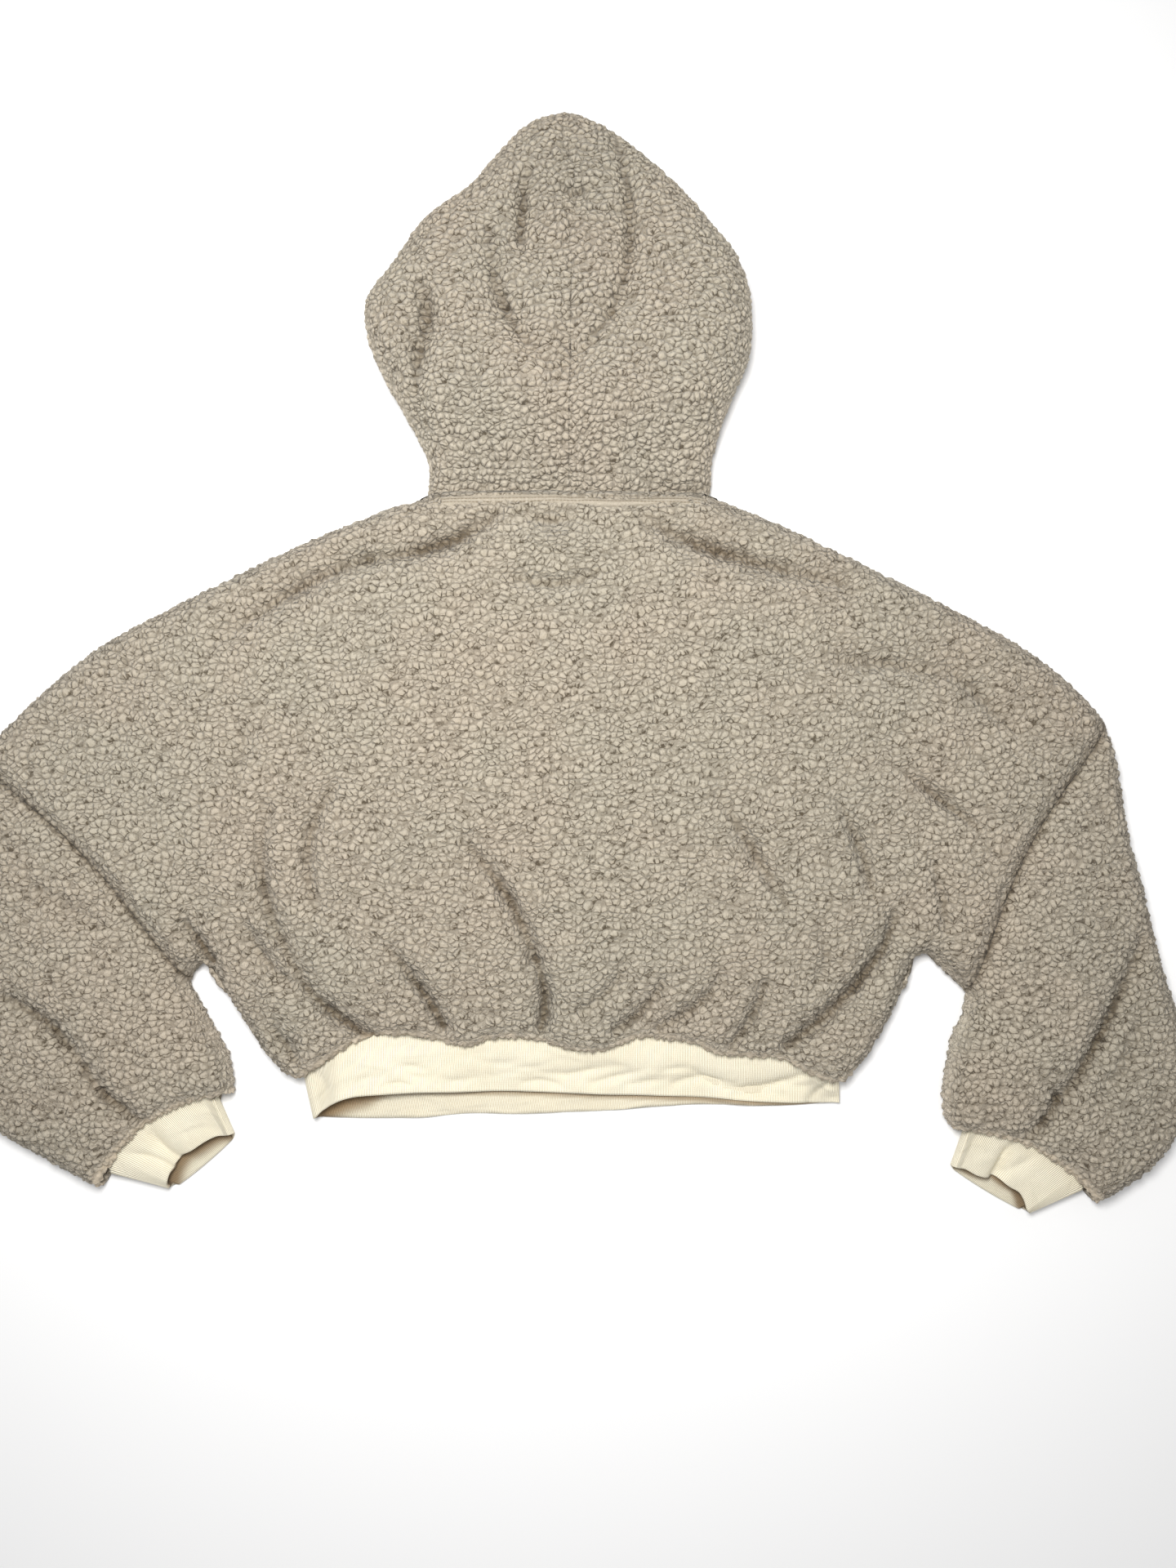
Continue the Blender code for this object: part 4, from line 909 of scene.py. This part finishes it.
def fleece_piece(name, grid, cuts, amount, cores, facing=None, closed=False, between=(0, np.inf), turn=1,
                 look=PILE_LOOK, hem_rows=0):
    """A wall of fleece and its pile. Its first columns show as many of the creases as there are
    in `cores`. Over the last `hem_rows` its inner side stays within the outline."""
    n = facing_out(grid, closed, facing)
    shown = cores.shape[1]
    base = bedded(grid, np.pad(cores, ((0, 0), (0, grid.shape[1] - shown))))
    base[..., 2] = np.maximum(base[..., 2], between[0])
    inward = flush(facing_out(base, closed, facing), cuts)
    if hem_rows:
        outward = square_to(grid[-1])
        outward = outward * np.sign((outward * inward[-1]).sum())
        last = inward[-hem_rows:]
        last -= np.minimum((last * outward).sum(-1, keepdims=True), 0) * outward
    obj = wall(name, grid, base, inward, WALL, SKIP, look, closed, between, turn)
    raise_pile(obj, grid, n, amount, shown)
    return obj


def panel(neck, side_l, side_r, hem, shoulder, side, rows, bow):
    """Plan of a body panel between its shoulders and neck, armholes, sides and hem, and the
    columns of its neck."""
    top = np.vstack([even(SHOULDER_LINE_L, shoulder)[:-1], neck, even(SHOULDER_LINE_R, shoulder)[1:]])
    bottom = np.vstack([even(side_l, side)[:-1], even(hem, len(top) - 2 * side + 2),
                        even(side_r, side)[-2::-1]])
    left = bowed(TIP_L, UNDERARM_L, 0, rows, bow * ARMHOLE_BOW["L"])
    right = bowed(TIP_R, UNDERARM_R, 0, rows, bow * ARMHOLE_BOW["R"])
    return coons(top, bottom, left, right), slice(shoulder - 1, shoulder - 1 + len(neck))


def part_seams(grid, neck):
    """Draws a body panel back from its armhole seams and its neck seam."""
    left, right = (d * np.sign(d[0, 0]) for d in (square_to(grid[:, 0]), square_to(grid[:, -1])))
    neck_seam = square_to(grid[0, neck])
    shifted(grid, "left", ALL, left, SEAM / 2)
    shifted(grid, "right", ALL, right, -SEAM / 2)
    shifted(grid, "top", neck, neck_seam, -SEAM / 2)
    before, after = slice(0, neck.start + 1), slice(neck.stop - 1, None)
    return [("top", before, UP), ("top", after, UP), ("top", neck, neck_seam),
            ("left", ALL, left), ("right", ALL, right)]


def build_back():
    neck_count, shoulder, side = (n for n in BACK_COLUMNS)
    v = spread(PANEL_LENGTH, rim_steps(SIDE_RISE, SIDE_RADIUS, BODY_STEP),
               rim_steps(MOUTH_RISE, MOUTH_RADIUS, BODY_STEP), steps_to(BACK_ROWS))
    plan, neck = panel(even(NECK_LINE, neck_count), SIDE_LINE_L, SIDE_LINE_R[::-1], HEM_LINE,
                       shoulder, side, v, 1)
    z, cores = upper(plan)
    grid = lift(plan, z)
    cuts = part_seams(grid, neck) + [("bottom", ALL, UP)]
    amount = near_seams(grid, [*ARMHOLE_LINE.values(), NECK_LINE])
    return fleece_piece("back_panel_fleece", grid, cuts, amount, cores, UP, between=(SIDE_RIM, np.inf),
                        hem_rows=HEM_ROWS)


def neckline(start):
    """Front neckline of one half in plan, from the side of the neck to the centre front."""
    f = np.linspace(0, 1, 41)
    end = (CENTRE_X, FRONT_NECK_Y)
    return np.column_stack([start[0] + (end[0] - start[0]) * f,
                            start[1] + (end[1] - start[1]) * (1 - (1 - f) ** 2)])


def cut_at(line, y):
    """The stretch of a side line above a level."""
    last = np.argmax(line[:, 1] < y)
    t = (y - line[last - 1, 1]) / (line[last, 1] - line[last - 1, 1])
    return np.vstack([line[:last], line[last - 1] + t * (line[last] - line[last - 1])])


def build_front():
    left, right = (even(neckline(start), steps_to(FRONT_NECK) // 2 + 1) for start in NECK_LINE)
    neck = np.vstack([left, right[-2::-1]])
    side_l, side_r = cut_at(SIDE_LINE_L, FRONT_HEM_Y), cut_at(SIDE_LINE_R[::-1], FRONT_HEM_Y)
    shoulder = SKIP // 2 * round((steps_to(FRONT_COLUMNS) - len(neck)) / SKIP) + 1
    side = steps_to(FRONT_SIDE)
    v = spread(PANEL_LENGTH, FRONT_TOP_EDGE, FRONT_HEM_EDGE, steps_to(FRONT_ROWS))
    plan, span = panel(neck, side_l, side_r, [side_l[-1], side_r[-1]], shoulder, side, v, 0)
    grid = lift(plan, lower(plan))
    cuts = part_seams(grid, span) + [
        ("bottom", slice(0, side), UP), ("bottom", slice(-side, None), UP),
        ("bottom", slice(side - 1, 1 - side), (0, 1, 0))]
    amount = near_seams(grid, [[TIP_L, UNDERARM_L], [TIP_R, UNDERARM_R], neck])
    return fleece_piece("front_panel_fleece", grid, cuts, amount, np.zeros((len(grid), 0)), DOWN,
                        between=(0, UNDER_RADIUS), turn=-1)


def build_sleeve(side):
    """A tube through cross sections, flat below, its upper edge hanging over the cuff."""
    outer, inner = OUTER_LINE[side], INNER_LINE[side]
    rows, top_count, under_count = steps_to(SLEEVE_ROWS), steps_to(SLEEVE_TOP), steps_to(SLEEVE_UNDER) - 2
    hem = rim_steps(MOUTH_RISE, MOUTH_RADIUS, SLEEVE_STEP)
    edge = rim_steps(SIDE_RISE, SIDE_RADIUS, SLEEVE_STEP)
    lengths = [travelled(line)[-1] for line in (outer, inner)]
    ends = [along(line, spread(long, [0], hem, rows)) for line, long in zip((outer, inner), lengths)]
    grid = []
    for share, start, end in zip(np.linspace(0, 1, rows), *ends):
        width = np.linalg.norm(end - start)
        seam_bow = ARMHOLE_BOW[side] * (1 - ease(share / BOW_RUN))
        bow = MOUTH_BOW[side] * ease((share - BOW_RUN) / BOW_RUN)
        top = bowed(start, end, bow, spread(width, edge, edge, top_count), seam_bow)
        g = spread(width, UNDER_EDGE, UNDER_EDGE, under_count)[::-1]
        gone = ease((np.minimum(g, 1 - g) * width - CORNER_START) / CORNER_RUN)[:, None]
        under = bowed(start, end, bow, g) * (1 - gone) + bowed(start, end, 0, g) * gone
        grid.append(np.vstack([top, under]))
    plan = np.array(grid)
    z, cores = upper(plan[:, :top_count])
    grid = lift(plan, np.concatenate([z, lower(plan[:, top_count:])], axis=1))
    f = spread(travelled(ARMHOLE_LINE[side])[-1], edge, edge, top_count)
    seam = square_to(bowed(outer[0], inner[0], 0, f, ARMHOLE_BOW[side]))
    seam = np.vstack([seam, np.repeat([across(outer[0], inner[0])], under_count, axis=0)])
    seam = seam * np.sign(seam[:, :1]) * -TURN[side]
    grid[0] += seam * SEAM / 2
    cuts = [("top", ALL, seam), ("bottom", slice(0, top_count), UP),
            ("bottom", slice(top_count, None), across(outer[-1], inner[-1]))]
    amount = near_seams(grid, [ARMHOLE_LINE[side]])
    return fleece_piece(f"sleeve_{SIDE_NAME[side]}_fleece", grid, cuts, amount, cores, closed=True,
                        turn=TURN[side])


def overhang(x):
    """How far the hood's pile hangs over the strip at its neck seam."""
    return 0.5 + HANG * np.exp(-((x - HANG_X) / HANG_REACH) ** 2)


def build_hood(side):
    """Half a hood: from the centre seam out over the top, round the side and in below it."""
    sign = -TURN[side]
    v = np.linspace(0, 1, steps_to(HOOD_ROWS))
    edge, seam = along(HOOD_LINE[side], v), along([NAPE, CROWN], v)
    out_count, under_count = steps_to(HOOD_COLUMNS) - 1, steps_to(HOOD_UNDER)
    rim = rim_steps(BODY_LOFT + HOOD_RISE - HOOD_RIM, HOOD_RADIUS, HOOD_STEP)
    tops, unders = [], []
    for share, start, end in zip(v, seam, edge):
        width = np.linalg.norm(end - start)
        out = spread(width, [0], rim, out_count + 1)[:-1]
        tops.append(start + (end - start) * out[:, None])
        open_share = ease((share - THROAT) / FACE_RUN)
        up = min(share / THROAT, 1)
        centre = np.array([CENTRE_X, FRONT_NECK_Y + (THROAT_TOP_Y - FRONT_NECK_Y) * up])
        near = end + (start - end) / width * HOOD_FLAP[side]
        rim_end = centre + (near - centre) * open_share
        f = np.linspace(0, 1, under_count) ** (1.7 - 0.5 * open_share)
        bend = 1 - (1 - f) ** 2
        bend = bend + (f - bend) * open_share
        unders.append(end + (rim_end - end) * np.column_stack([f, bend]))
    tops, unders, rises = np.array(tops), np.array(unders), ease(v / FACE_RUN)[:, None]
    rim_z = rim_height(edge, nearest(edge, OUTLINE))[:, None]
    low = (rim_z - SEAM * (1 - rises)) * curled(nearest(unders, OUTLINE),
                                                UNDER_RADIUS + (HOOD_CURL - UNDER_RADIUS) * rises)
    z, cores = upper(tops)
    grid = np.concatenate([lift(tops, z), lift(unders, low)], axis=1)
    top_line, seam_line = across(CROWN, HOOD_TOP), across(NAPE, CROWN)
    top_line, seam_line = (d * np.sign(d[0]) * sign for d in (top_line, seam_line))
    neck_top, neck_under = slice(0, out_count + 1), slice(out_count + 1, None)
    neck_seam = square_to(grid[0, out_count:])[1:] * -sign
    over = grid[:, :out_count]
    over[..., 1] -= overhang(over[..., 0]) * np.exp(-np.maximum(over[..., 1] - NECK_Y, 0) / HANG_FADE)
    shifted(grid, "top", neck_top, (0, 1, 0), SEAM / 2)
    shifted(grid, "top", neck_under, neck_seam, SEAM / 2)
    grid[v < THROAT + 0.001, -1, 0] += sign * SEAM / 2
    cuts = [("top", neck_top, (0, 1, 0)), ("top", neck_under, neck_seam),
            ("left", ALL, seam_line), ("bottom", ALL, top_line)]
    highest = np.full(grid.shape[:2], np.inf)
    highest[v < LOW_NECK, out_count:] = SIDE_RIM - SEAM / 2
    return fleece_piece(f"hood_{SIDE_NAME[side]}_fleece", grid, cuts, np.full(grid.shape[:2], HOOD_PILE),
                        cores, between=(0, highest[::SKIP, ::SKIP]), turn=sign, look=FLEECE_LOOK)


def rib_ring(name, seams, mouths, heights, square, turn, deep, shade):
    """A flattened ring of rib knit from its seam to its mouth, each given for its upper and its
    lower layer. It stores the place across the ribs and along them for the knit, and the shade
    inside the ring, which is deepest under the upper layer's edge: its strength, reach and least."""
    rows = []
    for s in RING_SHARES:
        top, low = (seam + (mouth - seam) * s for seam, mouth in zip(seams, mouths))
        z_top, z_low = heights(s, top)
        rows.append(np.vstack([lift(top, z_top), lift(low, z_low)[-2:0:-1]]))
    grid = np.array(rows)
    inward = flush(facing_out(grid, True), [("top", ALL, square)])
    obj = wall(name, grid, grid, inward, RIB, RIB_SKIP, RIB_LOOK, True, turn=turn)
    loop = np.linalg.norm(np.diff(np.concatenate([grid, grid[:, :1]], 1), axis=1), axis=-1)
    run = np.concatenate([[0], np.cumsum(loop.mean(0))[:-1]])
    run, depth = np.broadcast_arrays(run, (RING_SHARES * deep)[:, None])
    place = np.stack([run, depth, 0 * run], -1)
    store(obj.data, "rib", place, place[::RIB_SKIP, ::RIB_SKIP])
    strength, reach, least = shade
    inside = np.maximum(strength * np.exp(-(distance(grid[..., :2], mouths[0]) / reach) ** 4), least)
    store(obj.data, "inside", 0 * inside, inside[::RIB_SKIP, ::RIB_SKIP])
    return obj


def ripples(f, s, waves):
    return sum(height * np.sin(f * rate + start + drift * s) for height, rate, start, drift in waves)


def build_band():
    """The waistband: a flattened ring whose upper layer runs on under the fleece."""
    width = BAND_RIGHT - BAND_LEFT
    f = spread(width, RIB_EDGE, RIB_EDGE, BAND_COUNT)
    seam_low = np.column_stack([BAND_LEFT + width * f, np.full(len(f), FRONT_HEM_Y - SEAM)])
    inset = np.minimum(f, 1 - f) * width
    tuck = ease((inset - BAND_TUCK_START) / BAND_TUCK_RUN)
    seam_top = seam_low + np.column_stack([0 * f, (BAND_SEAM_Y - FRONT_HEM_Y + SEAM) * tuck])
    mouth_top, mouth_low = along(smooth(BAND_UPPER), f), along(smooth(BAND_LOWER), f)
    side = BAND_HEIGHT / 2
    rounded = roll(inset / BAND_ROUND, 2)
    rise, place, run = BAND_ARCH
    arch = rise * np.exp(-((f - place) / run) ** 2)
    sag = sum(h * ease((f - start) / reach) for h, start, reach in BAND_SAGS)

    def heights(s, top):
        crest = BAND_TUCK_HEIGHT + (BAND_HEIGHT - BAND_TUCK_HEIGHT) * ease(s / 0.6)
        crest = crest + ripples(f, s, BAND_RIPPLES) * s + arch * s - sag * ease((s - 0.3) / 0.7)
        crest = crest + BAND_CRUMPLE * fold_height(top, folds=BAND_FOLDS)
        low_ripples = np.maximum(ripples(f, s, BAND_LOW_RIPPLES), 0) * ease((s - 0.5) / 0.5)
        return side + (crest - side) * rounded, side - side * rounded + low_ripples * rounded

    deeper = np.exp(-((f - BAND_SHADE_AT) / BAND_SHADE_RUN) ** 4)
    deeper = np.concatenate([deeper, deeper[-2:0:-1]])
    return rib_ring("waistband_rib", (seam_top, seam_low), (mouth_top, mouth_low), heights, (0, 1, 0), 1,
                    BAND_DEEP, (0.8 + 0.2 * deeper, 4.5 + 9.5 * deeper, 0.1))


def build_cuff(side, seam, mouth, back, folds, shade_reach):
    """A cuff: a short flattened ring with folds in its upper layer."""
    seam_a, seam_b, mouth_a, mouth_b = np.array([*seam, *mouth], float)
    down = across(seam_a, seam_b)[:2]
    down = down * -np.sign(down[1])
    width = np.linalg.norm(seam_b - seam_a)
    f = spread(width, RIB_EDGE[:-1], RIB_EDGE[:-1], CUFF_COUNT)
    inset = np.minimum(f, 1 - f) * width
    rise = 4 * f * (1 - f)
    corner = CUFF_CORNER * (1 - ease(inset / CUFF_CORNER_RUN))
    tuck = ease((inset - CUFF_TUCK_START) / CUFF_TUCK_RUN)
    tuck = np.maximum((CUFF_TUCK + CUFF_TUCK_MORE + MOUTH_BOW[side] * rise) * tuck, corner)
    back = np.interp(f, *smooth(back).T)
    ends = np.where(f < 0.5, back[0], back[-1]) * (1 - ease(inset / 9))
    seam_line = seam_a + (seam_b - seam_a) * f[:, None] + down * SEAM
    mouth_line = mouth_a + (mouth_b - mouth_a) * f[:, None] + down * (CUFF_SAG * rise)[:, None]
    seams = [seam_line - down * by[:, None] for by in (tuck, corner)]
    mouths = [mouth_line - down * by[:, None] for by in (back, ends)]
    half = CUFF_HEIGHT / 2
    rounded = roll(inset / CUFF_ROUND, 2)

    def heights(s, top):
        height = fold_height(top, CUFF_BROAD, CUFF_CORE, folds) * ease((s - 0.2) / 0.4)
        height = np.maximum(height, 2 * RIB + CUFF_GAP - CUFF_HEIGHT)
        return half + (half + height) * rounded, half - half * rounded

    return rib_ring(f"cuff_{SIDE_NAME[side]}_rib", seams, mouths, heights, (*down, 0), TURN[side],
                    CUFF_DEEP, (0.95, shade_reach, 0.0))


def build_tape():
    """The flattened strip over the neck seam. Both its edges dive under the pile beside it."""
    width = NECK_R[0] - NECK_L[0]
    x = NECK_L[0] + np.linspace(STRIP_INSET, width - STRIP_INSET, 2 * round(width / STRIP_STEP) + 1)
    across_strip = np.linspace(0, 1, 21)
    top_edge = NECK_Y + STRIP_TOP - overhang(x)
    low_edge = NECK_Y - STRIP_LOW - 0.45 * overhang(x) - 0.8 * np.sin(x / 17)
    y = top_edge + (low_edge - top_edge) * across_strip[:, None]
    plan = np.stack([np.broadcast_to(x, y.shape), y], -1)
    ends = ease(np.minimum(x - x[0], x[-1] - x) / STRIP_END)
    rise = np.interp(across_strip, *np.transpose(STRIP_RISE))[:, None]
    bumps = 0.25 * np.sin(plan[..., 0] * 0.9 + 1.3 * np.sin(plan[..., 0] * 0.23)) * np.sin(y)
    grid = lift(plan, upper(plan)[0] + rise * ends + (ends - 1) * 1.5 + bumps)
    obj = wall("neck_tape_fleece", grid, grid, facing_out(grid, False, UP), TAPE, RIB_SKIP, STRIP_LOOK)
    place = NECK_Y + STRIP_TOP - y
    store(obj.data, "strip", place, place[::RIB_SKIP, ::RIB_SKIP])
    return obj


def keep(obj, cad_node):
    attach(obj, "root")
    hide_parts(cad_node)
    return obj


back = keep(build_back(), "back_panel")
front = keep(build_front(), "front_panel")
sleeves = [keep(build_sleeve(s), c) for s, c in (("L", "sleeve_left"), ("R", "sleeve_right"))]
hoods = [keep(build_hood(s), c) for s, c in (("L", "hood_left"), ("R", "hood_right"))]
band = keep(build_band(), "waistband")
cuffs = [keep(build_cuff("L", **CUFF_L), "cuff_left"), keep(build_cuff("R", **CUFF_R), "cuff_right")]
tape = keep(build_tape(), "neck_tape")


# Table, light and camera.

def build_floor():
    mesh = bpy.data.meshes.new("table")
    low = -0.0002
    mesh.from_pydata([(-4, -4, low), (4, -4, low), (4, 4, low), (-4, 4, low)], [], [(0, 1, 2, 3)])
    m, _, bsdf = shader("table_white", 0.6)
    bsdf.inputs["Base Color"].default_value = (0.88, 0.88, 0.885, 1)
    bsdf.inputs["Emission Color"].default_value = (1, 1, 1, 1)
    bsdf.inputs["Emission Strength"].default_value = 0.02
    mesh.materials.append(m)
    obj = placed("table", mesh)


def build_light(place, target):
    light = bpy.data.lights.new("key", "AREA")
    light.shape = "DISK"
    light.size = 0.30
    light.energy = 10.5
    light.color = (1.0, 0.995, 0.98)
    obj = placed("key", light, place)
    obj.visible_camera = False
    obj.rotation_euler = (Vector(target) - Vector(place)).to_track_quat("-Z", "Y").to_euler()


build_floor()
build_light((-0.06, 0.10, 0.88), (-0.02, 0.01, 0.0))
world = bpy.data.worlds.new("studio")
bpy.context.scene.world = world
world.use_nodes = True
background = world.node_tree.nodes["Background"].inputs
background["Color"].default_value = (1.0, 1.0, 1.0, 1)
background["Strength"].default_value = 0.52

camera = bpy.data.cameras.new("camera")
camera.sensor_width = 36.0
camera.lens = 27.06
camera.clip_start, camera.clip_end = 0.01, 50
bpy.context.scene.camera = placed("camera", camera, (0.0173, -0.0815, 0.866))
bpy.context.scene.view_settings.view_transform = "Standard"
